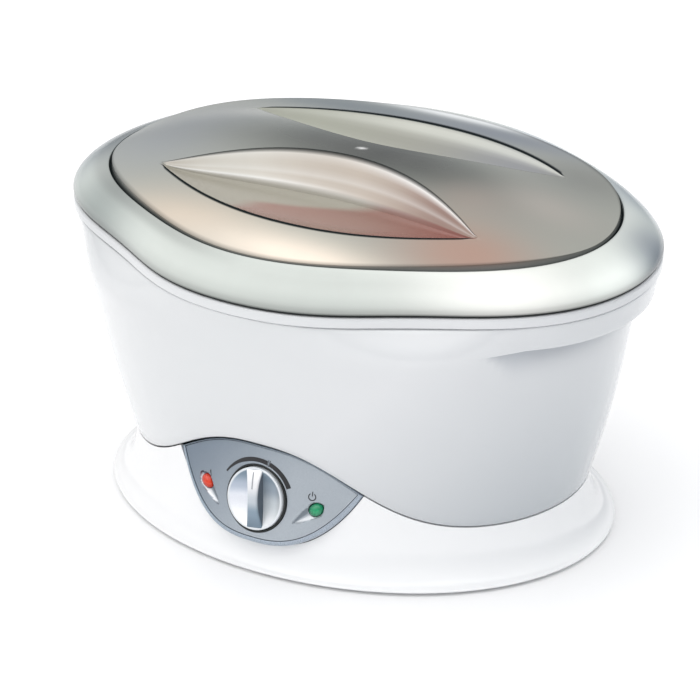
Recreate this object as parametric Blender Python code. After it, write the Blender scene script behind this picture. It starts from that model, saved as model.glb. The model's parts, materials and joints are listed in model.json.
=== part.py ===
"""Paraffin wax bath: an oval heated tub for hand and foot wax treatments.

The frame's origin is on the ground, at the middle of the footprint. +X runs along the length,
-Y is the front with the control panel, and +Z is up. Every size is in metres.
"""

from collections import namedtuple
from math import atan2, cos, exp, hypot, pi, radians, sin, sqrt

import bmesh
import bpy
from mathutils import Matrix, Vector

# ---------------------------------------------------------------- driving dimensions

CLEARANCE = 0.0004            # gap left between pieces that touch
SHELL = 0.0025                # wall of the moulded plastic shells

# An outline is an oval, r = mean + (a - b)/2 cos 2t + corner cos 4t + ripple cos 8t,
# whose rear half may have its own half width and corner.
Outline = namedtuple("Outline", "a b corner ripple rear_b rear_corner")


def oval(a, b, corner=0.0, ripple=0.0, rear_b=None, rear_corner=None):
    """An outline whose rear half repeats the front unless it is given its own numbers."""
    return Outline(a, b, corner, ripple, b if rear_b is None else rear_b,
                   corner if rear_corner is None else rear_corner)


RIM = oval(0.1875, 0.1466, 0.0089, -0.0010, 0.1420, 0.0060)
MOUTH = oval(0.1580, 0.1215, 0.0060, 0.0, 0.1140, 0.0035)
LID_STEP = oval(0.1610, 0.1307, 0.0059, 0.0, 0.1160, 0.0030)
TUB_FLOOR = oval(0.1180, 0.0800, 0.0030)
BRIM_LENGTH, BRIM_WIDTH = 0.3250, 0.2560

GROOVE_Z = 0.1748             # parting line between the housing and the rim ring
RIM_TOP_Z = 0.1812
LID_FOOT_Z = 0.1826
LID_STEP_Z = 0.2060
LID_STEP_FALL = 0.0066        # the step is this much lower at the two ends
LID_CROWN_Z = 0.2250
LID_RIDGE_SPREAD = 0.0700
LID_WALL = 0.0026
LID_RIB_Z = 0.1765            # the locating rib inside the lid ends here

RECESS_TIP_X, RECESS_TIP_Y = 0.1077, 0.0524
RECESS_INNER_Y, RECESS_OUTER_Y = 0.0115, 0.0880
RECESS_DEPTH = 0.0240
RECESS_CREASE = 0.17          # the floor starts at this share of a recess's width

WALL_FOOT_Z, WALL_TOP_Z = 0.036, 0.150
WALL_REAR_SHARE = 0.965       # the rear wall is this much nearer the middle than the front wall
SEAM_Z, SEAM_RISE, SEAM_REACH, SEAM_POWER = 0.0345, 0.0432, 0.075, 2.69
LIP_FOOT_Z = 0.1585           # lower edge of the handle lips
LIP_FADE_FROM, LIP_FADE_TO = 0.128, 0.165

BRIM_TOP_Z, BRIM_FOOT_Z = 0.0038, 0.0020
FOOT_HEIGHT = 0.0030
COVER_Z, COVER_THICKNESS = 0.0034, 0.0022
COVER_INSET = 0.0120          # the bottom cover sits this far inside the brim's edge
BOSS_RADIUS, BOSS_TOP_Z, BOSS_INSET = 0.0048, 0.0300, 0.0062
PILOT_RADIUS, PILOT_TOP_Z = 0.0021, 0.0150

TUB_WALL = 0.0014
TUB_FLOOR_Z = 0.0640
TUB_RIM_Z = 0.1780

PANEL_CENTRE = Vector((0.0, -0.1195, 0.0458))
PANEL_TILT = radians(14.4)
PANEL_HALF_LENGTH = 0.0632
PANEL_CURVE_RADIUS = 0.140
PANEL_DROP, PANEL_POWER = 0.0412, 2.7
PANEL_DEPTH = 0.0140
PANEL_GAP = 0.0010
FASCIA_INSET, FASCIA_TOP_INSET = 0.0030, 0.0010
FASCIA_FRONT, FASCIA_BACK = -0.0007, -0.0031

KNOB_RADIUS, KNOB_RIM, KNOB_BACK = 0.0188, 0.0012, -0.0054
KNOB_DISH_RADIUS, KNOB_DISH_DEPTH = 0.0173, 0.0040
BAR_HALF_LENGTH, BAR_ARCH = 0.0167, 0.0027
BAR_WAIST, BAR_FLARE = 0.0032, 0.0022
POINTER_REST = radians(8.3)   # the pointer rests this far anticlockwise of straight up
DIAL_WELL_RADIUS = 0.0210
COLLAR_OUTER, COLLAR_INNER, COLLAR_TOP = 0.0207, 0.0193, -0.0006
SHAFT_RADIUS = 0.0030
LENS_RADIUS = 0.0042
RED_LENS_U, RED_LENS_V = -0.0374, 0.0004
GREEN_LENS_U, GREEN_LENS_V = 0.0374, 0.0013

CABLE_RADIUS = 0.0029
COIL_CENTRE = Vector((-0.150, 0.110))
COIL_RADIUS, COIL_PITCH = 0.0300, 0.0062
LEAD_EXIT_X, LEAD_EXIT_Z = -0.062, 0.0170

AROUND = 48                   # divisions round the large shells
COLUMNS = 22                  # divisions along the lid

# ---------------------------------------------------------------- geometry helpers


def uniform_angles(count):
    return [2 * pi * i / count for i in range(count)]


def radius_of(outline, angle):
    rear = sin(angle) > 0
    b, corner = (outline.rear_b, outline.rear_corner) if rear else (outline.b, outline.corner)
    mean = (outline.a + b) / 2 - corner - outline.ripple
    return (mean + (outline.a - b) / 2 * cos(2 * angle)
            + corner * cos(4 * angle) + outline.ripple * cos(8 * angle))


def grown(outline, by):
    return outline._replace(a=outline.a + by, b=outline.b + by, rear_b=outline.rear_b + by)


def between(first, last, t):
    return Outline(*(p + (q - p) * t for p, q in zip(first, last)))


def smoothstep(low, high, value):
    t = min(max((value - low) / (high - low), 0.0), 1.0)
    return t * t * (3 - 2 * t)


def ring(outline, z, angles):
    """One closed row of points; z is a height or a function of x and y."""
    points = []
    for angle in angles:
        r = radius_of(outline, angle)
        x, y = r * cos(angle), r * sin(angle)
        points.append(Vector((x, y, z(x, y) if callable(z) else z)))
    return points


def polar_ring(place, angles):
    """One closed row of points from a function of the angle that gives radius and height."""
    return [Vector((r * cos(angle), r * sin(angle), z)) for angle in angles for r, z in [place(angle)]]


def pole(x, y, z):
    return [Vector((x, y, z))]


def material(name, colour, roughness, metallic=0.0, alpha=1.0):
    found = bpy.data.materials.get(name)
    if found:
        return found
    made = bpy.data.materials.new(name)
    made.use_nodes = True
    shader = made.node_tree.nodes["Principled BSDF"]
    shader.inputs["Base Color"].default_value = (*colour, 1.0)
    shader.inputs["Roughness"].default_value = roughness
    shader.inputs["Metallic"].default_value = metallic
    shader.inputs["Alpha"].default_value = alpha
    made.diffuse_color = (*colour, alpha)
    return made


def object_from(name, mesh_edit, finish, sharp_angle=radians(35)):
    bmesh.ops.recalc_face_normals(mesh_edit, faces=mesh_edit.faces)
    mesh = bpy.data.meshes.new(name)
    mesh_edit.to_mesh(mesh)
    mesh_edit.free()
    mesh.shade_smooth()
    mesh.set_sharp_from_angle(angle=sharp_angle)
    mesh.materials.append(finish)
    made = bpy.data.objects.new(name, mesh)
    bpy.context.scene.collection.objects.link(made)
    return made


def join_rows(mesh_edit, first, second, closed=True):
    """Faces between two rows of vertices; a row of one vertex is a pole."""
    count = max(len(first), len(second))
    for i in range(count if closed else count - 1):
        j = (i + 1) % count
        if len(first) == 1:
            mesh_edit.faces.new((first[0], second[i], second[j]))
        elif len(second) == 1:
            mesh_edit.faces.new((first[i], second[0], first[j]))
        else:
            mesh_edit.faces.new((first[i], second[i], second[j], first[j]))


def loft(name, rows, finish, loop=False):
    """A closed solid skinned over rows of points, either looped or closed by a pole at each end."""
    mesh_edit = bmesh.new()
    made = [[mesh_edit.verts.new(point) for point in row] for row in rows]
    for first, second in zip(made, made[1:]):
        join_rows(mesh_edit, first, second)
    if loop:
        join_rows(mesh_edit, made[-1], made[0])
    return object_from(name, mesh_edit, finish)


def turned(name, centre, axis, profile, finish, sides=24):
    """A round solid on an axis from a profile of (radius, distance); a zero radius is a pole."""
    guide = Vector((1, 0, 0)) if abs(axis.z) > 0.9 else Vector((0, 0, 1))
    side = axis.cross(guide).normalized()
    other = side.cross(axis)
    rows = []
    for radius, distance in profile:
        middle = centre + axis * distance
        if radius == 0:
            rows.append([middle])
        else:
            rows.append([middle + (side * cos(t) + other * sin(t)) * radius for t in uniform_angles(sides)])
    return loft(name, rows, finish, loop=profile[0][0] != 0)


def disc(name, centre, axis, radius, low, high, finish, sides=24):
    return turned(name, centre, axis, [(0, low), (radius, low), (radius, high), (0, high)], finish, sides)


def tube(name, path, radius, finish, sides=8):
    """A round bar or cable that follows a path of points."""
    rows = [[path[0]]]
    normal = None
    for i, point in enumerate(path):
        ahead = path[min(i + 1, len(path) - 1)] - path[max(i - 1, 0)]
        ahead.normalize()
        if normal is None:
            guide = Vector((0, 0, 1)) if abs(ahead.z) < 0.9 else Vector((1, 0, 0))
            normal = ahead.cross(guide)
        normal = (normal - ahead * normal.dot(ahead)).normalized()
        across = ahead.cross(normal)
        rows.append([point + (normal * cos(t) + across * sin(t)) * radius for t in uniform_angles(sides)])
    rows.append([path[-1]])
    return loft(name, rows, finish)


def smooth_path(corners, steps):
    """A Catmull-Rom curve through the corners."""
    points = []
    ends = [corners[0] * 2 - corners[1], *corners, corners[-1] * 2 - corners[-2]]
    for before, start, end, after in zip(ends, ends[1:], ends[2:], ends[3:]):
        for k in range(steps):
            t = k / steps
            points.append(0.5 * (2 * start + (end - before) * t
                                 + (2 * before - 5 * start + 4 * end - after) * t * t
                                 + (3 * start - before - 3 * end + after) * t ** 3))
    points.append(corners[-1].copy())
    return points


def box(name, low, high, finish):
    """A box from its lowest and highest corners."""
    mesh_edit = bmesh.new()
    made = bmesh.ops.create_cube(mesh_edit, size=1.0)["verts"]
    for vertex in made:
        for axis in range(3):
            vertex.co[axis] = low[axis] if vertex.co[axis] < 0 else high[axis]
    return object_from(name, mesh_edit, finish)


def bevel(target, width, segments=1):
    modifier = target.modifiers.new("Bevel", "BEVEL")
    modifier.width = width
    modifier.segments = segments
    modifier.limit_method = "ANGLE"
    modifier.angle_limit = radians(50)


def boolean(target, tool, operation):
    modifier = target.modifiers.new("Boolean", "BOOLEAN")
    modifier.operation = operation
    modifier.solver = "EXACT"
    modifier.object = tool
    tool.hide_render = True
    tool.display_type = "WIRE"


def cut(target, *tools):
    for tool in tools:
        boolean(target, tool, "DIFFERENCE")


def add(target, *tools):
    for tool in tools:
        boolean(target, tool, "UNION")


# ---------------------------------------------------------------- finishes


def white_plastic():
    return material("white_plastic", (0.86, 0.88, 0.90), 0.25)


def silver_plastic():
    return material("silver_plastic", (0.52, 0.56, 0.61), 0.32, 0.7)


def dark_rubber():
    return material("dark_rubber", (0.03, 0.035, 0.035), 0.6)


def aluminium():
    return material("aluminium", (0.72, 0.73, 0.74), 0.35, 1.0)


def steel():
    return material("steel", (0.60, 0.61, 0.62), 0.3, 1.0)


def grey_plastic():
    return material("grey_plastic", (0.30, 0.32, 0.34), 0.5)


# ---------------------------------------------------------------- shell surfaces


def wall_radius(angle, z):
    """The housing's wall, which leans outward as it rises."""
    t = (z - WALL_FOOT_Z) / (WALL_TOP_Z - WALL_FOOT_Z)
    half_width = 0.1012 + 0.0301 * t + 0.0048 * t * t
    outline = oval(0.1470 + 0.0341 * t - 0.0119 * t * t, half_width, -0.0001 - 0.0021 * t, 0.0,
                   half_width * WALL_REAR_SHARE)
    return radius_of(outline, angle)


def plain_radius(angle, z):
    """The housing's wall away from the lips, which flares out to meet the rim ring."""
    reach = radius_of(RIM, angle) - 0.0010 - wall_radius(angle, GROOVE_Z)
    flare = max(z - WALL_TOP_Z, 0.0) / (GROOVE_Z - WALL_TOP_Z)
    return wall_radius(angle, z) + reach * flare ** 2


def seam_height(x, y):
    """The edge between housing and base, which arches over the control panel at the front."""
    return SEAM_Z + (SEAM_RISE * exp(-(abs(x) / SEAM_REACH) ** SEAM_POWER) if y < 0 else 0.0)


def seam_point(angle):
    z = SEAM_Z
    for _ in range(12):
        r = wall_radius(angle, z)
        z = seam_height(r * cos(angle), r * sin(angle))
    return wall_radius(angle, z), z


def brim_radius(angle, inset=0.0):
    a, b = BRIM_LENGTH / 2 - inset, BRIM_WIDTH / 2 - inset
    return a * b / sqrt((b * cos(angle)) ** 2 + (a * sin(angle)) ** 2)


def skirt_radius(angle, z):
    """The handle lips at the two ends, blended into the plain wall at front and back."""
    rim = radius_of(RIM, angle) - 0.0010
    fade = smoothstep(LIP_FADE_FROM, LIP_FADE_TO, abs(rim * cos(angle)))
    lip = rim - 0.0030 * (GROOVE_Z - z) / (GROOVE_Z - LIP_FOOT_Z)
    plain = plain_radius(angle, z)
    return plain + (lip - plain) * fade


# ---------------------------------------------------------------- housing, rim ring and base


def build_housing():
    angles = uniform_angles(AROUND)

    def wall_row(t, inset=0.0):
        def place(angle):
            _, foot = seam_point(angle)
            foot += CLEARANCE
            z = foot + (LIP_FOOT_Z - 0.002 - foot) * t
            return plain_radius(angle, z) - inset, z
        return polar_ring(place, angles)

    def skirt_row(z, inset=0.0):
        return polar_ring(lambda angle: (skirt_radius(angle, z) - inset, z), angles)

    shelf = -0.0160
    heights = (0.0, 0.35, 1.0)
    outer = [wall_row(t) for t in heights]
    outer += [skirt_row(LIP_FOOT_Z + 0.0015), skirt_row(0.1670), skirt_row(GROOVE_Z - CLEARANCE)]
    inner = [
        ring(grown(RIM, shelf), GROOVE_Z - CLEARANCE, angles),
        ring(grown(RIM, shelf), GROOVE_Z - CLEARANCE - 0.0024, angles),
        skirt_row(0.1715, SHELL),
        skirt_row(LIP_FOOT_Z + 0.0045, SHELL),
    ]
    inner += [wall_row(t, SHELL) for t in reversed(heights)]
    return loft("housing", outer + inner, white_plastic(), loop=True)


def build_rim_ring():
    angles = uniform_angles(AROUND)
    seat_z = TUB_RIM_Z + CLEARANCE
    rows = [
        ring(RIM, GROOVE_Z, angles),
        ring(RIM, RIM_TOP_Z - 0.0012, angles),
        ring(grown(RIM, -0.0012), RIM_TOP_Z, angles),
        ring(grown(RIM, -0.0200), RIM_TOP_Z, angles),
        ring(MOUTH, RIM_TOP_Z - 0.0008, angles),
        ring(MOUTH, seat_z, angles),
        ring(grown(RIM, -0.0060), seat_z, angles),
        ring(grown(RIM, -0.0060), GROOVE_Z, angles),
    ]
    return loft("rim_ring", rows, white_plastic(), loop=True)


def build_lid_seal():
    angles = uniform_angles(40)
    low, high = RIM_TOP_Z + 0.0003, LID_FOOT_Z - 0.0003
    outer, inner = grown(RIM, -0.0022), grown(RIM, -0.0052)
    rows = [ring(outer, low, angles), ring(outer, high, angles),
            ring(inner, high, angles), ring(inner, low, angles)]
    return loft("lid_seal", rows, dark_rubber(), loop=True)


def build_base():
    """The pedestal: a flared skirt that rises to a collar round the control panel."""
    angles = uniform_angles(AROUND)

    def flare_row(turn, inset=0.0):
        def place(angle):
            top_r, top_z = seam_point(angle)
            top_z -= CLEARANCE
            reach = brim_radius(angle, 0.0006) - top_r
            r = top_r + reach * (1 - cos(turn)) - inset
            if inset:
                r = min(r, brim_radius(angle, COVER_INSET))
            return r, BRIM_TOP_Z + (top_z - BRIM_TOP_Z) * (1 - sin(turn))
        return polar_ring(place, angles)

    def brim_row(inset, z):
        return polar_ring(lambda angle: (brim_radius(angle, inset), z), angles)

    turns = [radians(t) for t in (0, 22, 42, 60, 76)]
    rows = [flare_row(t) for t in turns]
    rows += [brim_row(0.0006, BRIM_TOP_Z), brim_row(0.0, 0.0029), brim_row(0.0008, BRIM_FOOT_Z)]
    rows += [brim_row(COVER_INSET, BRIM_FOOT_Z), brim_row(COVER_INSET, 0.0052)]
    rows += [flare_row(t, SHELL) for t in reversed(turns[:4])]
    base = loft("base", rows, white_plastic(), loop=True)

    up = Vector((0, 0, 1))
    for i, (x, y) in enumerate(screw_places()):
        foot = Vector((x, y, 0))
        add(base, disc(f"boss_{i}", foot, up, BOSS_RADIUS, COVER_Z + COVER_THICKNESS + CLEARANCE,
                       BOSS_TOP_Z, white_plastic(), 14))
        cut(base, disc(f"pilot_{i}", foot, up, PILOT_RADIUS, -0.002, PILOT_TOP_Z, steel(), 10))
    pocket = panel_solid("panel_pocket", CLEARANCE, 0.0040, -PANEL_DEPTH - 0.010, white_plastic(), 0.012)
    lead_hole = disc("lead_hole", Vector((LEAD_EXIT_X, 0.085, LEAD_EXIT_Z)), Vector((0, 1, 0)),
                     0.0052, 0.0, 0.040, white_plastic(), 16)
    cut(base, pocket, lead_hole)
    return base


def screw_places():
    """Four screws just inside the pedestal's wall, clear of the panel."""
    places = []
    for angle in (radians(27), radians(153), radians(207), radians(333)):
        r = seam_point(angle)[0] - BOSS_INSET
        places.append((r * cos(angle), r * sin(angle)))
    return places


def build_bottom_cover():
    angles = uniform_angles(40)

    def row(inset, z):
        return polar_ring(lambda angle: (brim_radius(angle, inset), z), angles)

    edge = COVER_INSET + 0.0010
    top = COVER_Z + COVER_THICKNESS
    rows = [pole(0, 0, COVER_Z), row(edge + 0.0008, COVER_Z), row(edge, COVER_Z + 0.0006),
            row(edge, top), pole(0, 0, top)]
    cover = loft("bottom_cover", rows, grey_plastic())
    for i, (x, y) in enumerate(screw_places()):
        cut(cover, disc(f"cover_hole_{i}", Vector((x, y, 0)), Vector((0, 0, 1)), PILOT_RADIUS,
                        0.0, 0.0100, steel(), 10))


def build_feet():
    for name, x, y in (("foot_front_left", -1, -1), ("foot_front_right", 1, -1),
                       ("foot_rear_left", -1, 1), ("foot_rear_right", 1, 1)):
        turned(name, Vector((0.098 * x, 0.074 * y, 0)), Vector((0, 0, 1)),
               [(0, 0), (0.0085, 0), (0.0092, 0.0008), (0.0092, FOOT_HEIGHT), (0, FOOT_HEIGHT)],
               dark_rubber(), 14)


def screw(name, tip, axis, head_radius, length, finish):
    """A pan-head screw: its head starts at the given point and its shank runs along the axis."""
    shank = 0.0017
    profile = [(0, -0.0018), (head_radius * 0.7, -0.0016), (head_radius, -0.0006), (head_radius, 0),
               (shank, 0), (shank, length - 0.002), (0, length)]
    return turned(name, tip, axis, profile, finish, 9)


def build_cover_screws():
    for name, (x, y) in zip(("cover_screw_rear_right", "cover_screw_rear_left",
                             "cover_screw_front_left", "cover_screw_front_right"), screw_places()):
        screw(name, Vector((x, y, COVER_Z - CLEARANCE)), Vector((0, 0, 1)), 0.0033, 0.0110, steel())


# ---------------------------------------------------------------- lid


def lid_height(x, y):
    """The lid's top: a shallow dome with a ridge along its middle."""
    edge = LID_STEP_Z - LID_STEP_FALL * (x / RIM.a) ** 2
    fade = max(1 - (abs(x) / (LID_STEP.a + 0.004)) ** 2.6, 0.0)
    ridge = (LID_CROWN_Z - LID_STEP_Z) * fade
    return edge + ridge * exp(-(y / LID_RIDGE_SPREAD) ** 2)


def recess_rows(x, half_width, rear):
    """Distances from the middle at one place along the lid: a recess's inner and outer edge."""
    s = abs(x) / RECESS_TIP_X
    if s < 1:
        inner = RECESS_INNER_Y + (RECESS_TIP_Y - RECESS_INNER_Y) * s ** 1.9
        outer = RECESS_OUTER_Y - (RECESS_OUTER_Y - RECESS_TIP_Y) * s ** 2.1
    else:
        inner = outer = RECESS_TIP_Y * half_width / step_half_width(RECESS_TIP_X, rear)
    middle = (inner + outer) / 2
    spread = max((outer - inner) / 2, 0.0012 * min(1.0, half_width / 0.060))
    inner, outer = middle - spread, middle + spread
    return inner, outer


def recess_drop(x, y_share):
    """Depth of a recess below the dome, by the share of its width from inner to outer edge."""
    s = min(abs(x) / RECESS_TIP_X, 1.0)
    depth = RECESS_DEPTH * (1 - s ** 2.0) ** 0.8
    if y_share <= RECESS_CREASE:
        return depth * y_share / RECESS_CREASE
    return depth * (1 - ((y_share - RECESS_CREASE) / (1 - RECESS_CREASE)) ** 1.3)


def step_half_width(x, rear):
    """Half the width of the step's oval at a place along the lid."""
    side = 1 if rear else -1
    low, high = 0.0, pi / 2
    for _ in range(40):
        middle = (low + high) / 2
        if radius_of(LID_STEP, side * middle) * cos(middle) > abs(x):
            low = middle
        else:
            high = middle
    return radius_of(LID_STEP, side * high) * sin(high)


def lid_half_column(x, rear, lower):
    """Points from the step to near the middle on one side; lower gives the underside."""
    half = step_half_width(x, rear)
    inner, outer = recess_rows(x, half, rear)
    if lower:
        inner *= 0.86
    shares = (0.72, 0.45, RECESS_CREASE)
    ys = [half, (half + outer) / 2, outer, *(inner + (outer - inner) * share for share in shares),
          inner, inner * 0.5]
    drops = [0.0, 0.0, 0.0, *(recess_drop(x, share) for share in shares), 0.0, 0.0]
    side = 1 if rear else -1
    wall = LID_WALL if lower else 0.0
    return [Vector((x, side * y, lid_height(x, side * y) - drop - wall)) for y, drop in zip(ys, drops)]


def lid_grid(lower):
    """Columns of points across the lid, front to rear, on its top or its underside."""
    columns = []
    for i in range(1, COLUMNS):
        x = -LID_STEP.a * cos(pi * i / COLUMNS)
        middle = Vector((x, 0, lid_height(x, 0) - (LID_WALL if lower else 0.0)))
        front, rear = (lid_half_column(x, is_rear, lower) for is_rear in (False, True))
        columns.append([*front, middle, *reversed(rear)])
    return columns


def build_lid():
    """A shell: the domed top grid, the rounded band round it, the rib and the underside grid."""
    mesh_edit = bmesh.new()
    top, under = lid_grid(False), lid_grid(True)

    def add_grid(columns, drop):
        ends = [Vector((x, 0, lid_height(x, 0) - drop)) for x in (-LID_STEP.a, LID_STEP.a)]
        made = [[mesh_edit.verts.new(p) for p in column] for column in columns]
        first, last = (mesh_edit.verts.new(end) for end in ends)
        join_rows(mesh_edit, [first], made[0], closed=False)
        for one, two in zip(made, made[1:]):
            join_rows(mesh_edit, one, two, closed=False)
        join_rows(mesh_edit, made[-1], [last], closed=False)
        front = [column[0] for column in made]
        rear = [column[-1] for column in reversed(made)]
        return [first, *front, last, *rear]

    upper_edge = add_grid(top, 0.0)
    lower_edge = add_grid(under, LID_WALL)
    angles = [atan2(vertex.co.y, vertex.co.x) for vertex in upper_edge]

    def band(turn, wall=0.0):
        outer, inner = grown(RIM, -wall), grown(LID_STEP, -wall * 0.4)
        share = cos(turn) ** 1.25
        outline = between(inner, outer, share)

        def height(x, y):
            top_z = LID_STEP_Z - LID_STEP_FALL * (x / RIM.a) ** 2
            return LID_FOOT_Z + 0.0020 + (top_z - wall - LID_FOOT_Z - 0.0020) * sin(turn) ** 1.25
        return ring(outline, height, angles)

    def under_height(x, y):
        return LID_STEP_Z - LID_STEP_FALL * (x / RIM.a) ** 2 - LID_WALL

    turns = [radians(t) for t in (68, 48, 30, 14)]
    rows = [band(t) for t in turns]
    rows += [ring(RIM, LID_FOOT_Z + 0.0020, angles), ring(RIM, LID_FOOT_Z, angles)]
    rows += [ring(grown(RIM, -LID_WALL), LID_FOOT_Z, angles)]
    rows += [band(t, LID_WALL) for t in reversed(turns[1:])]
    rib_outer, rib_inner = grown(MOUTH, -0.0015), grown(MOUTH, -0.0037)
    rows += [ring(rib_outer, lambda x, y: under_height(x, y) - 0.0006, angles),
             ring(rib_outer, LID_RIB_Z, angles), ring(rib_inner, LID_RIB_Z, angles),
             ring(rib_inner, lambda x, y: under_height(x, y) - 0.0010, angles)]
    made = [[mesh_edit.verts.new(p) for p in row] for row in rows]
    chain = [upper_edge, *made, lower_edge]
    for one, two in zip(chain, chain[1:]):
        join_rows(mesh_edit, one, two)
    finish = material("smoke_polycarbonate", (0.42, 0.44, 0.42), 0.08, 0.0, 0.45)
    return object_from("lid", mesh_edit, finish)


# ---------------------------------------------------------------- tub and heater


def tub_outline(z, inset=0.0):
    share = (z - TUB_FLOOR_Z) / (TUB_RIM_Z - TUB_FLOOR_Z)
    return grown(between(grown(TUB_FLOOR, 0.004), grown(MOUTH, 0.0020), max(share, 0.0) ** 0.8), inset)


def build_tub():
    """A pressed aluminium pan that hangs by its flange."""
    angles = uniform_angles(40)
    flange = grown(RIM, -0.0100)
    corner = ((-0.012, 0.0), (-0.003, 0.0030), (0.0035, 0.0120))
    rows = [pole(0, 0, TUB_FLOOR_Z)]
    rows += [ring(grown(TUB_FLOOR, grow), TUB_FLOOR_Z + rise, angles) for grow, rise in corner]
    rows += [ring(tub_outline(z), z, angles) for z in (0.100, 0.140, 0.1720)]
    rows += [ring(grown(MOUTH, 0.0040), TUB_RIM_Z, angles), ring(flange, TUB_RIM_Z, angles)]
    rows += [ring(flange, TUB_RIM_Z - TUB_WALL, angles),
             ring(grown(MOUTH, 0.0050), TUB_RIM_Z - TUB_WALL, angles)]
    rows += [ring(tub_outline(z, TUB_WALL), z, angles) for z in (0.1712, 0.140, 0.100)]
    rows += [ring(grown(TUB_FLOOR, grow + 0.0012), TUB_FLOOR_Z + rise - 0.0013, angles)
             for grow, rise in reversed(corner)]
    rows += [pole(0, 0, TUB_FLOOR_Z - 0.0013)]
    return loft("tub", rows, aluminium())


def build_tub_seal():
    angles = uniform_angles(40)
    low, high = GROOVE_Z, TUB_RIM_Z - TUB_WALL - CLEARANCE
    outer, inner = grown(RIM, -0.0110), grown(RIM, -0.0150)
    rows = [ring(outer, low, angles), ring(outer, high, angles),
            ring(inner, high, angles), ring(inner, low, angles)]
    return loft("tub_seal", rows, dark_rubber(), loop=True)


def build_grille():
    """The loose plastic grid that keeps skin off the hot floor."""
    sectors, outer = 28, grown(TUB_FLOOR, -0.0090)
    edges = (0.14, 0.38, 0.44, 0.68, 0.74, 0.94, 1.0)
    low, high = TUB_FLOOR_Z + 0.0016, TUB_FLOOR_Z + 0.0046
    angles = uniform_angles(sectors)
    mesh_edit = bmesh.new()

    def vertex_row(share, z):
        return [mesh_edit.verts.new(Vector((radius_of(outer, t) * share * cos(t),
                                            radius_of(outer, t) * share * sin(t), z))) for t in angles]

    levels = [[vertex_row(share, z) for share in edges] for z in (low, high)]
    centres = [mesh_edit.verts.new((0, 0, z)) for z in (low, high)]
    solid_band = {1, 3, 5}

    def solid(band, sector):
        return band in solid_band or sector % 4 == 0

    for level, rows in enumerate(levels):
        for i in range(sectors):
            j = (i + 1) % sectors
            mesh_edit.faces.new((centres[level], rows[0][i], rows[0][j]))
            for band in range(len(edges) - 1):
                if solid(band, i):
                    mesh_edit.faces.new((rows[band][i], rows[band + 1][i], rows[band + 1][j], rows[band][j]))
    lower, upper = levels
    for i in range(sectors):
        j = (i + 1) % sectors
        before = (i - 1) % sectors
        for band in range(len(edges)):
            inside = band == 0 or solid(band - 1, i)
            outside = band < len(edges) - 1 and solid(band, i)
            if inside != outside:
                mesh_edit.faces.new((lower[band][i], lower[band][j], upper[band][j], upper[band][i]))
        for band in range(len(edges) - 1):
            if solid(band, i) != solid(band, before):
                mesh_edit.faces.new((lower[band][i], lower[band + 1][i], upper[band + 1][i], upper[band][i]))
    finish = material("grille_plastic", (0.80, 0.80, 0.78), 0.5)
    return object_from("grille", mesh_edit, finish, radians(30))


def build_heater():
    """Tubular element clamped under the tub, with its clamp, felt, shield, stud and nut."""
    element_z, element_radius = 0.0586, 0.0032
    a, b, leg_x = 0.078, 0.046, 0.013
    start = pi / 2 + 0.28
    loop = []
    for i in range(33):
        t = start + (2 * pi - 0.56) * i / 32
        loop.append(Vector((a * cos(t), b * sin(t), element_z)))
    legs = [Vector((-leg_x, 0.0830, 0.0380)), Vector((-leg_x, 0.0830, 0.0500)),
            Vector((-leg_x, 0.0780, 0.0572)), Vector((-leg_x, 0.0690, element_z)),
            Vector((-leg_x - 0.001, 0.0560, element_z))]
    other = [Vector((-p.x, p.y, p.z)) for p in reversed(legs)]
    path = legs + loop + other
    tube("heating_element", path, element_radius, steel(), 7)

    def plate(name, half_length, half_width, low, high, finish, hole, lip=0.0):
        angles = uniform_angles(32)
        outline = oval(half_length, half_width)
        rows = [ring(outline, low, angles)]
        if lip:
            rim = grown(outline, 0.0014)
            rows += [ring(rim, low, angles), ring(rim, high + lip, angles), ring(outline, high + lip, angles)]
        rows += [ring(outline, high, angles), ring(oval(hole, hole), high, angles),
                 ring(oval(hole, hole), low, angles)]
        return loft(name, rows, finish, loop=True)

    felt = material("mineral_felt", (0.62, 0.58, 0.50), 0.95)
    plate("heater_clamp", 0.092, 0.058, 0.0530, 0.0550, aluminium(), 0.0036)
    plate("insulation_mat", 0.096, 0.061, 0.0486, 0.0526, felt, 0.0040)
    plate("heat_shield", 0.099, 0.064, 0.0470, 0.0482, steel(), 0.0036, 0.0040)
    disc("tub_stud", Vector((0, 0, 0)), Vector((0, 0, 1)), 0.0025, 0.0400, TUB_FLOOR_Z - 0.0017, steel(), 10)
    turned("stud_nut", Vector((0, 0, 0)), Vector((0, 0, 1)),
           [(0.0050, 0.0428), (0.0050, 0.0466), (0.0029, 0.0466), (0.0029, 0.0428)], steel(), 12)


# ---------------------------------------------------------------- control panel

AXIS_OUT = Vector((0, -cos(PANEL_TILT), sin(PANEL_TILT)))
AXIS_UP = Vector((0, sin(PANEL_TILT), cos(PANEL_TILT)))


def flat_point(u, v, out):
    """A point by its place along the panel, up it, and out of its flat middle."""
    return PANEL_CENTRE + Vector((u, 0, 0)) + AXIS_UP * v + AXIS_OUT * out


def panel_point(u, v, out):
    """The same on the panel's face, which curves back towards its two tips."""
    return flat_point(u, v, out - u * u / (2 * PANEL_CURVE_RADIUS))


def panel_top(u):
    sag = sin(PANEL_TILT) * u * u / (2 * PANEL_CURVE_RADIUS)
    height = SEAM_Z + SEAM_RISE * exp(-(abs(u) / SEAM_REACH) ** SEAM_POWER) - PANEL_GAP
    return (height - PANEL_CENTRE.z + sag) / cos(PANEL_TILT)


def panel_bottom(u):
    return panel_top(PANEL_HALF_LENGTH) - PANEL_DROP * (1 - (abs(u) / PANEL_HALF_LENGTH) ** PANEL_POWER)


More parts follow.
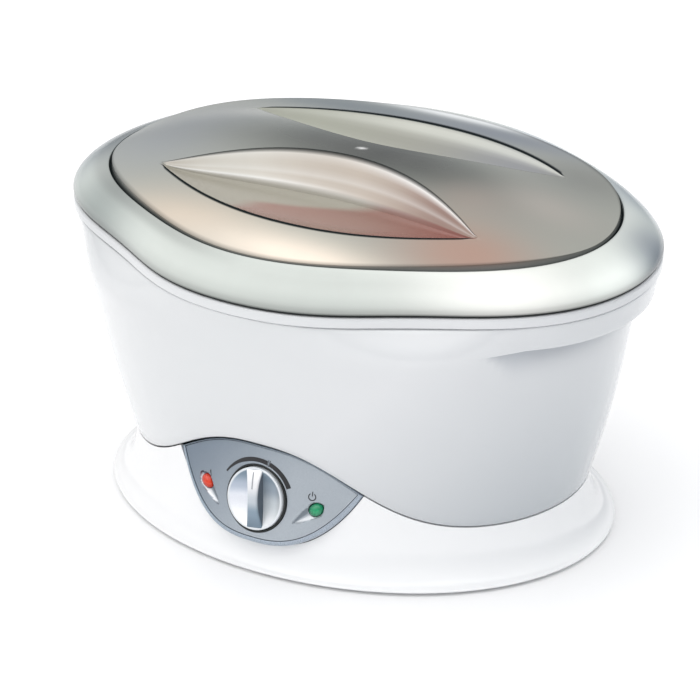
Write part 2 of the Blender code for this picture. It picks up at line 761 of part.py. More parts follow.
def panel_edges(u, grow):
    """The panel's upper and lower edges at one place along it, moved outward by grow.

    Moved inward, the upper edge goes a third as far: the frame round the fascia is thin there."""
    top_grow = grow
    if grow < -FASCIA_INSET:
        top_grow = grow + FASCIA_INSET - FASCIA_TOP_INSET
    elif grow < 0:
        top_grow = grow * FASCIA_TOP_INSET / FASCIA_INSET
    step = 0.0005
    top_slope = (panel_top(u + step) - panel_top(u - step)) / (2 * step)
    bottom_slope = (panel_bottom(u + step) - panel_bottom(u - step)) / (2 * step)
    return (panel_top(u) + top_grow * hypot(1, top_slope),
            panel_bottom(u) - grow * hypot(1, bottom_slope))


def panel_tip(grow):
    """Half the panel's length once its edges are moved outward by grow."""
    low, high = 0.3 * PANEL_HALF_LENGTH, 1.3 * PANEL_HALF_LENGTH
    for _ in range(40):
        middle = (low + high) / 2
        top, bottom = panel_edges(middle, grow)
        low, high = (middle, high) if top > bottom else (low, middle)
    return low


def panel_row(grow, out, lift=0.0, steps=22):
    """The half-lens outline, anticlockwise from its right tip; lift raises the upper edge's middle."""
    tip = panel_tip(grow)
    points = []
    for i in range(steps):
        u = tip * cos(pi * i / steps)
        raised = lift * (1 - (abs(u) / tip) ** 6)
        points.append(panel_point(u, panel_edges(u, grow)[0] + raised, out))
    for i in range(steps):
        u = -tip * cos(pi * i / steps)
        points.append(panel_point(u, panel_edges(u, grow)[1], out))
    return points


def panel_solid(name, grow, front, back, finish, lift=0.0):
    """A solid half lens between two distances from the panel's face."""
    middle = 0.004
    rows = [[panel_point(0, middle, front)], panel_row(grow, front, lift),
            panel_row(grow, back, lift), [panel_point(0, middle, back)]]
    return loft(name, rows, finish)


def build_panel():
    finish = silver_plastic()
    inner = -FASCIA_INSET
    rows = [panel_row(0.0, -PANEL_DEPTH), panel_row(0.0, -0.0026), panel_row(-0.0006, -0.0008),
            panel_row(-0.0019, 0.0), panel_row(inner, -0.0004), panel_row(inner, -PANEL_DEPTH)]
    loft("control_bezel", rows, finish, loop=True)

    fascia = panel_solid("control_fascia", inner - 0.0003, FASCIA_FRONT, FASCIA_BACK, finish)
    well = disc("dial_well", PANEL_CENTRE, AXIS_OUT, DIAL_WELL_RADIUS, -0.0090, 0.0060, finish, 36)
    cut(fascia, well)
    for name, u, v in (("red", RED_LENS_U, RED_LENS_V), ("green", GREEN_LENS_U, GREEN_LENS_V)):
        cut(fascia, disc(f"{name}_lens_hole", lens_seat(u, v), AXIS_OUT, LENS_RADIUS + 0.0003,
                         -0.0090, 0.0060, finish, 16))

    turned("dial_plate", PANEL_CENTRE, AXIS_OUT,
           [(0.0048, -0.0074), (COLLAR_OUTER, -0.0074), (COLLAR_OUTER, COLLAR_TOP),
            (COLLAR_INNER, COLLAR_TOP), (COLLAR_INNER, -0.0058), (0.0048, -0.0058)], dark_rubber(), 36)


def lens_seat(u, v):
    return panel_point(u, v, FASCIA_FRONT)


def build_lamps():
    for colour, u, v, tint in (("red", RED_LENS_U, RED_LENS_V, (0.85, 0.12, 0.03)),
                               ("green", GREEN_LENS_U, GREEN_LENS_V, (0.02, 0.45, 0.20))):
        seat = lens_seat(u, v)
        r = LENS_RADIUS
        dome = [(0, 0.0024), (r * 0.5, 0.0021), (r * 0.85, 0.0014), (r, 0.0004)]
        socket = [(r, -0.0060), (r * 0.6, -0.0060), (r * 0.6, -0.0028), (0, -0.0028)]
        turned(f"{colour}_lens", seat, AXIS_OUT, dome + socket,
               material(f"{colour}_lens", tint, 0.15, 0.0, 0.85), 16)
        glass = material("lamp_glass", (0.85, 0.80, 0.70), 0.1)
        turned(f"{colour}_lamp", seat, AXIS_OUT,
               [(0, -0.0036), (0.0012, -0.0041), (0.0015, -0.0050), (0.0015, -0.0150), (0, -0.0150)],
               glass, 10)


def dial_up():
    """The direction on the panel's face that the pointer rests at."""
    return AXIS_UP * cos(POINTER_REST) + Vector((-1, 0, 0)) * sin(POINTER_REST)


def bar_crest(along):
    """Height of the grip bar's arched crest."""
    return KNOB_RIM - 0.0003 + BAR_ARCH * (1 - (along / BAR_HALF_LENGTH) ** 2)


def bar_solid(name, low, high, half_width, bottom, top, finish, stations=9):
    """A solid along the grip bar; half_width, bottom and top are functions of the place along it."""
    up = dial_up()
    side = up.cross(AXIS_OUT)
    rows = []
    for i in range(stations):
        along = low + (high - low) * i / (stations - 1)
        w, z0, z1 = half_width(along), bottom(along), top(along)
        rows.append([PANEL_CENTRE + side * across + up * along + AXIS_OUT * out
                     for across, out in ((-w, z0), (-w, z1), (w, z1), (w, z0))])
    ends = [sum(row, Vector()) / 4 for row in (rows[0], rows[-1])]
    return loft(name, [[ends[0]], *rows, [ends[1]]], finish)


def build_dial():
    """A dished knob with a waisted, arched grip bar across it, its pointer and its shaft."""
    r, rim, back = KNOB_RADIUS, KNOB_RIM, KNOB_BACK
    dish = [(KNOB_DISH_RADIUS * share, rim - KNOB_DISH_DEPTH * (1 - share ** 2))
            for share in (0, 0.3, 0.55, 0.75, 0.9, 1.0)]
    knob = turned("knob", PANEL_CENTRE, AXIS_OUT,
                  [(0, back), (r - 0.0004, back), (r, back + 0.0004), (r, rim - 0.0006),
                   (r - 0.0005, rim), *reversed(dish)], silver_plastic(), 40)

    def bar_width(along):
        return BAR_WAIST + BAR_FLARE * (along / BAR_HALF_LENGTH) ** 2

    bar = bar_solid("grip_bar", -BAR_HALF_LENGTH, BAR_HALF_LENGTH, bar_width,
                    lambda along: back + 0.0012, bar_crest, silver_plastic(), 13)
    add(knob, bar)
    bore = disc("shaft_bore", PANEL_CENTRE, AXIS_OUT, SHAFT_RADIUS + 0.0003, back - 0.0020, 0.0012,
                steel(), 16)
    slot_half, slot_low, slot_high = 0.0007, 0.0056, 0.0156
    slot = bar_solid("pointer_slot", slot_low, slot_high, lambda along: slot_half,
                     lambda along: bar_crest(along) - 0.0010, lambda along: bar_crest(along) + 0.0030,
                     steel())
    cut(knob, bore, slot)
    ink = material("pointer_ink", (0.35, 0.38, 0.42), 0.4)
    bar_solid("knob_pointer", slot_low + 0.0003, slot_high - 0.0003, lambda along: slot_half - 0.0003,
              lambda along: bar_crest(along) - 0.0007, lambda along: bar_crest(along) + 0.0001, ink)
    disc("thermostat_shaft", PANEL_CENTRE, AXIS_OUT, SHAFT_RADIUS, -0.0158, 0.0008, steel(), 14)


def build_thermostat():
    """Capillary thermostat behind the dial, with its bulb clipped to the tub's wall."""
    body_radius = 0.0140
    turned("thermostat_body", PANEL_CENTRE, AXIS_OUT,
           [(0, -0.0340), (body_radius, -0.0340), (body_radius, -0.0230), (body_radius - 0.002, -0.0215),
            (body_radius - 0.002, -0.0170), (0.0060, -0.0162), (0, -0.0162)], grey_plastic(), 24)
    angles = uniform_angles(20)
    rows = []
    for out, r in ((-0.0156, 0.0175), (-0.0144, 0.0175), (-0.0144, 0.0045), (-0.0156, 0.0045)):
        rows.append([flat_point(r * cos(t) * (1.25 if r > 0.01 else 1.0), r * sin(t), out) for t in angles])
    loft("thermostat_bracket", rows, steel(), loop=True)

    angle = radians(232)
    wall = grown(tub_outline(0.108), TUB_WALL + 0.0052)
    r = radius_of(wall, angle)
    spot = Vector((r * cos(angle), r * sin(angle), 0.108))
    along = Vector((-sin(angle), cos(angle), 0)) * 0.014
    tube("sensing_bulb", [spot - along, spot - along * 0.97, spot + along * 0.97, spot + along],
         0.0020, steel(), 10)
    outward = Vector((cos(angle), sin(angle), 0))
    start = flat_point(-0.006, -0.004, -0.0348)
    route = [start, start + Vector((-0.012, 0.006, -0.001)), Vector((-0.036, -0.078, 0.042)),
             Vector((-0.050, -0.088, 0.068)), Vector((-0.052, -0.101, 0.088)),
             spot + along * 2.2 + outward * 0.002 - Vector((0, 0, 0.008)), spot + along * 1.10]
    copper = material("copper", (0.72, 0.38, 0.22), 0.35, 1.0)
    tube("capillary_tube", smooth_path(route, 4), 0.0007, copper, 5)
    build_bulb_clip(spot, along.normalized(), outward)


def build_bulb_clip(spot, along, outward):
    """A spring clip bent round the sensing bulb, open on the side that faces the tub."""
    half_length, bore, outside = 0.004, 0.0025, 0.0034
    bends = [radians(t) for t in (-130, -90, -45, 0, 45, 90, 130)]

    def arc(middle, radius, turns):
        return [middle + outward * (radius * cos(t)) + Vector((0, 0, radius * sin(t))) for t in turns]

    mesh_edit = bmesh.new()
    ends = []
    for shift in (-half_length, half_length):
        middle = spot + along * shift
        section = arc(middle, outside, bends) + arc(middle, bore, bends[::-1])
        ends.append([mesh_edit.verts.new(point) for point in section])
    join_rows(mesh_edit, *ends)
    last = 2 * len(bends) - 1
    for row in ends:
        for i in range(len(bends) - 1):
            mesh_edit.faces.new((row[i], row[i + 1], row[last - 1 - i], row[last - i]))
    object_from("bulb_clip", mesh_edit, steel())


# ---------------------------------------------------------------- wiring and mains lead


def build_wiring():
    block_low, block_high = Vector((-0.052, 0.050, 0.0062)), Vector((-0.016, 0.066, 0.0190))
    nylon = material("block_nylon", (0.75, 0.73, 0.66), 0.5)
    bevel(box("terminal_block", block_low, block_high, nylon), 0.0008)
    top = block_high.z + 0.0016
    fuse_at = Vector((0.0480, 0.0745, 0.0520))
    turned("thermal_fuse", fuse_at, Vector((1, 0, 0)),
           [(0, -0.010), (0.0020, -0.010), (0.0024, -0.009), (0.0024, 0.009), (0.0020, 0.010), (0, 0.010)],
           material("fuse_ceramic", (0.85, 0.83, 0.78), 0.6), 12)
    turned("fuse_clip", fuse_at, Vector((1, 0, 0)),
           [(0.0028, -0.003), (0.0036, -0.003), (0.0036, 0.003), (0.0028, 0.003)], steel(), 12)

    def wire(name, colour, corners):
        tube(name, smooth_path(corners, 3), 0.0011, material(name, colour, 0.45), 6)

    wire("live_wire", (0.30, 0.12, 0.05), [
        Vector((-0.022, 0.058, top)), Vector((-0.020, 0.050, 0.030)), Vector((0.018, 0.000, 0.030)),
        Vector((0.030, -0.060, 0.028)), flat_point(0.007, -0.004, -0.0420),
        flat_point(0.007, -0.002, -0.0356)])
    wire("heater_wire", (0.55, 0.10, 0.06), [
        flat_point(0.002, 0.009, -0.0362), Vector((0.026, -0.072, 0.040)), Vector((0.070, -0.040, 0.034)),
        Vector((0.085, 0.030, 0.034)), Vector((0.076, 0.070, 0.046)), fuse_at + Vector((0.0108, 0, 0))])
    wire("fuse_wire", (0.80, 0.78, 0.72), [
        fuse_at - Vector((0.0108, 0, 0)), Vector((0.030, 0.076, 0.046)), Vector((0.018, 0.082, 0.033)),
        Vector((0.0130, 0.0830, 0.0362))])
    wire("neutral_wire", (0.06, 0.16, 0.45), [
        Vector((-0.034, 0.058, top)), Vector((-0.036, 0.066, 0.030)), Vector((-0.022, 0.080, 0.028)),
        Vector((-0.0130, 0.0830, 0.0362))])
    wire("earth_wire", (0.25, 0.50, 0.12), [
        Vector((-0.046, 0.058, top)), Vector((-0.060, 0.062, 0.034)), Vector((-0.050, 0.082, 0.052)),
        Vector((-0.040, 0.080, 0.0590))])


def build_mains_lead():
    """Bush, lead coiled beside the base, and a two-pin plug lying behind it."""
    rubber = material("lead_rubber", (0.78, 0.79, 0.80), 0.45)
    exit_y = 0.1210
    wall_y = 0.0995
    turned("strain_relief", Vector((LEAD_EXIT_X, wall_y, LEAD_EXIT_Z)), Vector((0, 1, 0)),
           [(CABLE_RADIUS + 0.0006, -0.0080), (0.0047, -0.0080), (0.0047, 0.0085), (0.0068, 0.0090),
            (0.0068, 0.0115), (0.0045, 0.0200), (CABLE_RADIUS + 0.0006, 0.0200)], rubber, 16)
    ground = CABLE_RADIUS + 0.0002
    path = [Vector((LEAD_EXIT_X + 0.003, 0.0740, LEAD_EXIT_Z - 0.001)),
            Vector((LEAD_EXIT_X, 0.0840, LEAD_EXIT_Z)), Vector((LEAD_EXIT_X, wall_y - 0.008, LEAD_EXIT_Z)),
            Vector((LEAD_EXIT_X, exit_y, LEAD_EXIT_Z)), Vector((LEAD_EXIT_X - 0.005, 0.1300, 0.0140)),
            Vector((-0.084, 0.1365, 0.0060)), Vector((-0.106, 0.1310, ground))]
    lead = smooth_path(path, 4)[:-1]
    turns, per_turn = 2.75, 16
    steps = int(turns * per_turn)
    for i in range(steps + 1):
        share = i / per_turn
        t = -2 * pi * share
        z = ground + COIL_PITCH * share
        lead.append(Vector((COIL_CENTRE.x + COIL_RADIUS * cos(t), COIL_CENTRE.y + COIL_RADIUS * sin(t), z)))
    plug_back, plug_y, plug_z = 0.010, 0.1398, 0.0130
    tail = [lead[-1], Vector((-0.120, 0.1405, 0.0200)), Vector((-0.070, 0.1405, 0.0170)),
            Vector((-0.020, plug_y, plug_z)), Vector((plug_back - 0.0004, plug_y, plug_z))]
    lead += smooth_path(tail, 4)[1:]
    tube("power_lead", lead, CABLE_RADIUS, rubber, 6)

    angles = uniform_angles(20)
    rows = [[Vector((plug_back, plug_y, plug_z))]]
    for x, half_y, half_z in ((0.0, 0.0040, 0.0045), (0.010, 0.0046, 0.0052), (0.014, 0.0064, 0.0110),
                              (0.035, 0.0068, 0.0125), (0.036, 0.0062, 0.0119)):
        middle = Vector((plug_back + x, plug_y, plug_z))
        rows.append([middle + Vector((0, half_y * squared(cos(t)), half_z * squared(sin(t))))
                     for t in angles])
    rows.append([Vector((plug_back + 0.036, plug_y, plug_z))])
    loft("plug_body", rows, rubber)
    for name, sign in (("plug_pin_lower", -1), ("plug_pin_upper", 1)):
        turned(name, Vector((plug_back + 0.036, plug_y, plug_z + sign * 0.0093)), Vector((1, 0, 0)),
               [(0, CLEARANCE), (0.0020, CLEARANCE), (0.0020, 0.0175), (0.0012, 0.0190), (0, 0.0192)],
               material("brass", (0.80, 0.66, 0.36), 0.3, 1.0), 12)


def squared(value):
    """Pushes a circle's coordinate out towards a rounded rectangle."""
    return abs(value) ** 0.6 * (1 if value >= 0 else -1)


# ---------------------------------------------------------------- assembly


def set_pivot(name, place):
    """Moves a moving piece's origin onto its joint without moving its shape."""
    piece = bpy.data.objects[name]
    piece.data.transform(Matrix.Translation(-place))
    piece.location = place


def main():
    for leftover in list(bpy.data.objects):
        bpy.data.objects.remove(leftover, do_unlink=True)
    build_housing()
    build_rim_ring()
    build_lid_seal()
    build_base()
    build_bottom_cover()
    build_feet()
    build_cover_screws()
    build_lid()
    build_tub()
    build_tub_seal()
    build_grille()
    build_heater()
    build_panel()
    build_lamps()
    build_dial()
    build_thermostat()
    build_wiring()
    build_mains_lead()
    for name in ("knob", "knob_pointer", "thermostat_shaft"):
        set_pivot(name, PANEL_CENTRE)
    set_pivot("lid", Vector((0, 0, LID_FOOT_Z)))
    set_pivot("grille", Vector((0, 0, TUB_FLOOR_Z)))


main()
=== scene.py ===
"""The looks of the paraffin wax bath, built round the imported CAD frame.

Every shell that shows is rebuilt here at a fine resolution from the same outlines as the CAD part, with
its main sizes read from the frame. +X runs along the bath, -Y is the front, and sizes are in metres.
"""

import json
from collections import namedtuple
from math import atan2, cos, exp, hypot, pi, radians, sin, sqrt

import bmesh
import bpy
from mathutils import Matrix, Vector


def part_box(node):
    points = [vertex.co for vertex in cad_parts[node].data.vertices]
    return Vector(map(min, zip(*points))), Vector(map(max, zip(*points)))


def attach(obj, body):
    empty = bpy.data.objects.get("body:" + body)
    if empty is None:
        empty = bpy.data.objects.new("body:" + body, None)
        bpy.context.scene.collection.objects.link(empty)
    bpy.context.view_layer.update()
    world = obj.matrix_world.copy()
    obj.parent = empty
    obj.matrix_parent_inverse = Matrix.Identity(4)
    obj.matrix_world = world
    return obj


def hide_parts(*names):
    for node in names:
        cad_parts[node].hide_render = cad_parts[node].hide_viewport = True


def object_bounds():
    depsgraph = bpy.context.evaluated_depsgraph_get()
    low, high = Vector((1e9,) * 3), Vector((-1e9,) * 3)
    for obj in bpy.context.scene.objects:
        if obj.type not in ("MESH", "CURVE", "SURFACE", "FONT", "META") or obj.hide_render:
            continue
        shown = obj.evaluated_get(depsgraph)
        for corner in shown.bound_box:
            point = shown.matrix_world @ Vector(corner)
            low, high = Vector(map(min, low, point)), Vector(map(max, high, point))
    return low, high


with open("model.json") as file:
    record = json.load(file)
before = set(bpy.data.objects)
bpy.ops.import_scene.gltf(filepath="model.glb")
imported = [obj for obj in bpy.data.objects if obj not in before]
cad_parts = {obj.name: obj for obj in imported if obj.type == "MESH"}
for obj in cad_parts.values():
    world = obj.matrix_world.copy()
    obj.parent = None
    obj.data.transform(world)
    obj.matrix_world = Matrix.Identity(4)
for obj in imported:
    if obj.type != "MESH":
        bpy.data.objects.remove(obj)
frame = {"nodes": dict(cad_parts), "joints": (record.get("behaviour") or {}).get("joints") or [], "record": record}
cad_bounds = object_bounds()

# ---------------------------------------------------------------- sizes

RIM_LOW, RIM_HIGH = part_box("rim_ring")
LID_LOW, LID_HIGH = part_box("lid")
BASE_LOW, BASE_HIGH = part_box("base")
TUB_LOW, TUB_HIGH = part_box("tub")
SEAL_LOW, SEAL_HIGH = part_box("lid_seal")
DIAL = next(joint for joint in frame["joints"] if joint["name"] == "dial_turn")

AROUND = 224                  # divisions round the large shells
COLUMNS = 120                 # divisions along the lid
SHELL = 0.0025                # wall of the moulded plastic shells
HAIRLINE = 0.0004             # gap between pieces that touch

Outline = namedtuple("Outline", "a b corner ripple rear_b rear_corner")


def oval(a, b, corner=0.0, ripple=0.0, rear_b=None, rear_corner=None):
    """An oval, r = mean + (a - b)/2 cos 2t + corner cos 4t + ripple cos 8t, with its own rear half."""
    return Outline(a, b, corner, ripple, b if rear_b is None else rear_b,
                   corner if rear_corner is None else rear_corner)


RIM = oval(RIM_HIGH.x, -RIM_LOW.y, 0.0089, -0.0010, RIM_HIGH.y, 0.0060)
MOUTH = oval(0.1580, 0.1215, 0.0060, 0.0, 0.1140, 0.0035)
LID_STEP = oval(0.1610, 0.1307, 0.0059, 0.0, 0.1160, 0.0030)
TUB_FLOOR = oval(0.1180, 0.0800, 0.0030)

GROOVE_Z, RIM_TOP_Z = RIM_LOW.z, RIM_HIGH.z
LID_FOOT_Z, LID_RIB_Z = SEAL_HIGH.z + 0.0003, LID_LOW.z
LID_STEP_Z, LID_STEP_FALL = 0.2060, 0.0066
LID_CROWN_Z, LID_RIDGE_SPREAD = LID_HIGH.z, 0.0700
LID_WALL = 0.0026
LID_GROOVE = 0.0022           # width of the dark groove along the lid's step

RECESS_TIP_X, RECESS_TIP_Y = 0.1077, 0.0524
RECESS_INNER_Y, RECESS_OUTER_Y = 0.0115, 0.0880
RECESS_DEPTH, RECESS_CREASE = 0.0240, 0.17

WALL_FOOT_Z, WALL_TOP_Z = 0.036, 0.150
# half sizes of the wall as foot + slope * t + curve * t * t, t being 0 at its foot and 1 at its top
WALL_HALF_LENGTH, WALL_HALF_WIDTH = (0.1470, 0.0341, -0.0119), (0.1012, 0.0301, 0.0048)
WALL_REAR_SHARE = 0.965
SEAM_Z, SEAM_RISE, SEAM_REACH, SEAM_POWER = 0.0345, 0.0432, 0.075, 2.69
LIP_FOOT_Z, LIP_SETBACK, LIP_TAPER = 0.1585, 0.0010, 0.0030
LIP_FADE_FROM, LIP_FADE_TO = 0.128, 0.165
SCOOP_DEPTH, SCOOP_REACH = 0.0030, 0.0120     # the hollow under a lip, into the wall and down it

BRIM_TOP_Z, BRIM_FOOT_Z, BRIM_EDGE = 0.0038, BASE_LOW.z, 0.0006
COVER_INSET = 0.0120

TUB_FLOOR_Z, TUB_RIM_Z = TUB_LOW.z + 0.0013, TUB_HIGH.z
TUB_WALL = 0.0014
WAX_Z = 0.1530                # the melted wax stands this high in the tub

PANEL_CENTRE = Vector(DIAL["pos_m"])
AXIS_OUT = -Vector(DIAL["axis"]).normalized()
AXIS_UP = Vector((0, AXIS_OUT.z, -AXIS_OUT.y))
PANEL_TILT = atan2(AXIS_OUT.z, -AXIS_OUT.y)
PANEL_HALF_LENGTH, PANEL_CURVE_RADIUS = 0.0632, 0.140
PANEL_DROP, PANEL_POWER = 0.0412, 2.7
PANEL_DEPTH, PANEL_GAP = 0.0140, 0.0010
PANEL_MIDDLE_V = 0.004        # a place inside the panel's outline
FASCIA_INSET, FASCIA_TOP_INSET = 0.0030, 0.0010
FASCIA_FRONT, FASCIA_BACK = -0.0007, -0.0031

KNOB_RADIUS, KNOB_RIM, KNOB_BACK = 0.0188, 0.0012, -0.0054
KNOB_DISH_RADIUS, KNOB_DISH_DEPTH = 0.0178, 0.0040
BAR_HALF_LENGTH, BAR_ARCH, BAR_WAIST, BAR_FLARE = 0.0172, 0.0027, 0.0032, 0.0022
POINTER_REST = radians(8.3)
BAR_UP = AXIS_UP * cos(POINTER_REST) + Vector((-1, 0, 0)) * sin(POINTER_REST)
BAR_SIDE = BAR_UP.cross(AXIS_OUT)
DIAL_WELL_RADIUS = 0.0206
COLLAR_OUTER, COLLAR_INNER, COLLAR_TOP = 0.0203, 0.0193, -0.0006

# a lamp: its place on the panel, the head and tail of the dimple it sits in, and the dimple's lit side
Lamp = namedtuple("Lamp", "name place head tail lit_side")
LAMPS = (Lamp("red", (-0.0374, 0.0004), (-0.0430, 0.0046), (-0.0262, -0.0106), -1),
         Lamp("green", (0.0374, 0.0013), (0.0418, 0.0050), (0.0252, -0.0094), 1))
LENS_LONG, LENS_SHORT = 0.0047, 0.0038
DIMPLE_WIDEST = 0.22          # share of a dimple's length at its widest place
DIMPLE_HALF, DIMPLE_DEPTH = 0.0050, 0.0017

CABLE_RADIUS = 0.0029
LEAD_EXIT_X, LEAD_EXIT_Z = -0.062, 0.0170
LEAD_WALL_Y, LEAD_BUSH_END_Y, LEAD_BORE = 0.0995, 0.1210, 0.0052
COIL_CENTRE = Vector((-0.150, 0.110))
COIL_RADIUS, COIL_PITCH, COIL_TURNS = 0.0300, 0.0062, 2.75
PLUG_BACK_X, PLUG_Y, PLUG_Z = 0.010, 0.1398, 0.0130

# ---------------------------------------------------------------- outlines


def radius_of(outline, angle):
    rear = sin(angle) > 0
    b, corner = (outline.rear_b, outline.rear_corner) if rear else (outline.b, outline.corner)
    mean = (outline.a + b) / 2 - corner - outline.ripple
    return (mean + (outline.a - b) / 2 * cos(2 * angle)
            + corner * cos(4 * angle) + outline.ripple * cos(8 * angle))


def grown(outline, by):
    return outline._replace(a=outline.a + by, b=outline.b + by, rear_b=outline.rear_b + by)


def between(first, last, t):
    return Outline(*(p + (q - p) * t for p, q in zip(first, last)))


def smoothstep(low, high, value):
    t = min(max((value - low) / (high - low), 0.0), 1.0)
    return t * t * (3 - 2 * t)


def bisect(below, low, high):
    """The place between low and high where below stops being true."""
    for _ in range(40):
        middle = (low + high) / 2
        low, high = (middle, high) if below(middle) else (low, middle)
    return low


def turns_of(count):
    return [2 * pi * i / count for i in range(count)]


ROUND = turns_of(AROUND)


def ring(outline, z, angles=ROUND):
    """One closed row of points; z is a height or a function of x and y."""
    points = []
    for angle in angles:
        r = radius_of(outline, angle)
        x, y = r * cos(angle), r * sin(angle)
        points.append(Vector((x, y, z(x, y) if callable(z) else z)))
    return points


def rings(outline, *rows, angles=ROUND):
    """Closed rows from pairs of a growth and a height."""
    return [ring(grown(outline, by), z, angles) for by, z in rows]


def polar_ring(place):
    return [Vector((r * cos(angle), r * sin(angle), z)) for angle in ROUND for r, z in [place(angle)]]


# ---------------------------------------------------------------- mesh helpers


replaced_nodes = set()


def linked(name, data):
    made = bpy.data.objects.new(name, data)
    bpy.context.scene.collection.objects.link(made)
    return made


def solid(name, edit):
    """An object from an edited mesh, its faces turned outward."""
    bmesh.ops.recalc_face_normals(edit, faces=edit.faces)
    mesh = bpy.data.meshes.new(name)
    edit.to_mesh(mesh)
    edit.free()
    return linked(name, mesh)


def shade_mesh(piece, sharp):
    piece.data.shade_smooth()
    piece.data.set_sharp_from_angle(angle=sharp)


def place_mesh(name, edit, body, replaces=(), slot=None, finish=None, sharp=radians(40)):
    """Turns an edited mesh into a piece that rides on a body and stands for CAD nodes."""
    piece = solid(name, edit)
    shade_mesh(piece, sharp)
    piece.data.materials.append(finish or FINISHES[slot])
    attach(piece, body)
    if replaces:
        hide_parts(*replaces)
        replaced_nodes.update(replaces)
    return piece


def cut(piece, *tools):
    """Cuts each edited mesh out of a piece."""
    for edit in tools:
        tool = solid("cutter", edit)
        modifier = piece.modifiers.new("Cut", "BOOLEAN")
        modifier.operation, modifier.solver, modifier.object = "DIFFERENCE", "EXACT", tool
        depsgraph = bpy.context.evaluated_depsgraph_get()
        shaped = bpy.data.meshes.new_from_object(piece.evaluated_get(depsgraph))
        piece.modifiers.clear()
        piece.data = shaped
        bpy.data.objects.remove(tool)
    shade_mesh(piece, radians(40))


def join_rows(edit, first, second, closed=True):
    """Faces between two rows of vertices; a row of one vertex is a pole."""
    count = max(len(first), len(second))
    for i in range(count if closed else count - 1):
        j = (i + 1) % count
        if len(first) == 1:
            edit.faces.new((first[0], second[i], second[j]))
        elif len(second) == 1:
            edit.faces.new((first[i], second[0], first[j]))
        else:
            edit.faces.new((first[i], second[i], second[j], first[j]))


def join_all(edit, rows, closed=True):
    for first, second in zip(rows, rows[1:]):
        join_rows(edit, first, second, closed)


def skin(rows, loop=False, capped=False):
    """An edited mesh over rows of points; its ends meet in a loop, or are capped, or are poles."""
    edit = bmesh.new()
    made = [[edit.verts.new(point) for point in row] for row in rows]
    join_all(edit, made)
    if loop:
        join_rows(edit, made[-1], made[0])
    if capped:
        for row in (made[0], made[-1]):
            edit.faces.new(row)
    return edit


def turned_rows(centre, axis, profile, sides):
    """Rows of a round solid on an axis from a profile of (radius, distance)."""
    guide = Vector((1, 0, 0)) if abs(axis.z) > 0.9 else Vector((0, 0, 1))
    side = axis.cross(guide).normalized()
    other = side.cross(axis)
    rows = []
    for radius, distance in profile:
        middle = centre + axis * distance
        if radius == 0:
            rows.append([middle])
        else:
            rows.append([middle + (side * cos(t) + other * sin(t)) * radius for t in turns_of(sides)])
    return rows


def turned(name, centre, axis, profile, sides, *placing):
    edit = skin(turned_rows(centre, axis, profile, sides), loop=profile[0][0] != 0)
    return place_mesh(name, edit, *placing)


def smooth_path(corners, steps):
    """A Catmull-Rom curve through the corners."""
    points = []
    ends = [corners[0] * 2 - corners[1], *corners, corners[-1] * 2 - corners[-2]]
    for before, start, end, after in zip(ends, ends[1:], ends[2:], ends[3:]):
        for k in range(steps):
            t = k / steps
            points.append(0.5 * (2 * start + (end - before) * t
                                 + (2 * before - 5 * start + 4 * end - after) * t * t
                                 + (3 * start - before - 3 * end + after) * t ** 3))
    points.append(corners[-1].copy())
    return points


def tube_mesh(path, radius, sides):
    rows = [[path[0]]]
    normal = None
    for i, point in enumerate(path):
        ahead = (path[min(i + 1, len(path) - 1)] - path[max(i - 1, 0)]).normalized()
        if normal is None:
            guide = Vector((0, 0, 1)) if abs(ahead.z) < 0.9 else Vector((1, 0, 0))
            normal = ahead.cross(guide)
        normal = (normal - ahead * normal.dot(ahead)).normalized()
        across = ahead.cross(normal)
        rows.append([point + (normal * cos(t) + across * sin(t)) * radius for t in turns_of(sides)])
    rows.append([path[-1]])
    return skin(rows)


# ---------------------------------------------------------------- material helpers


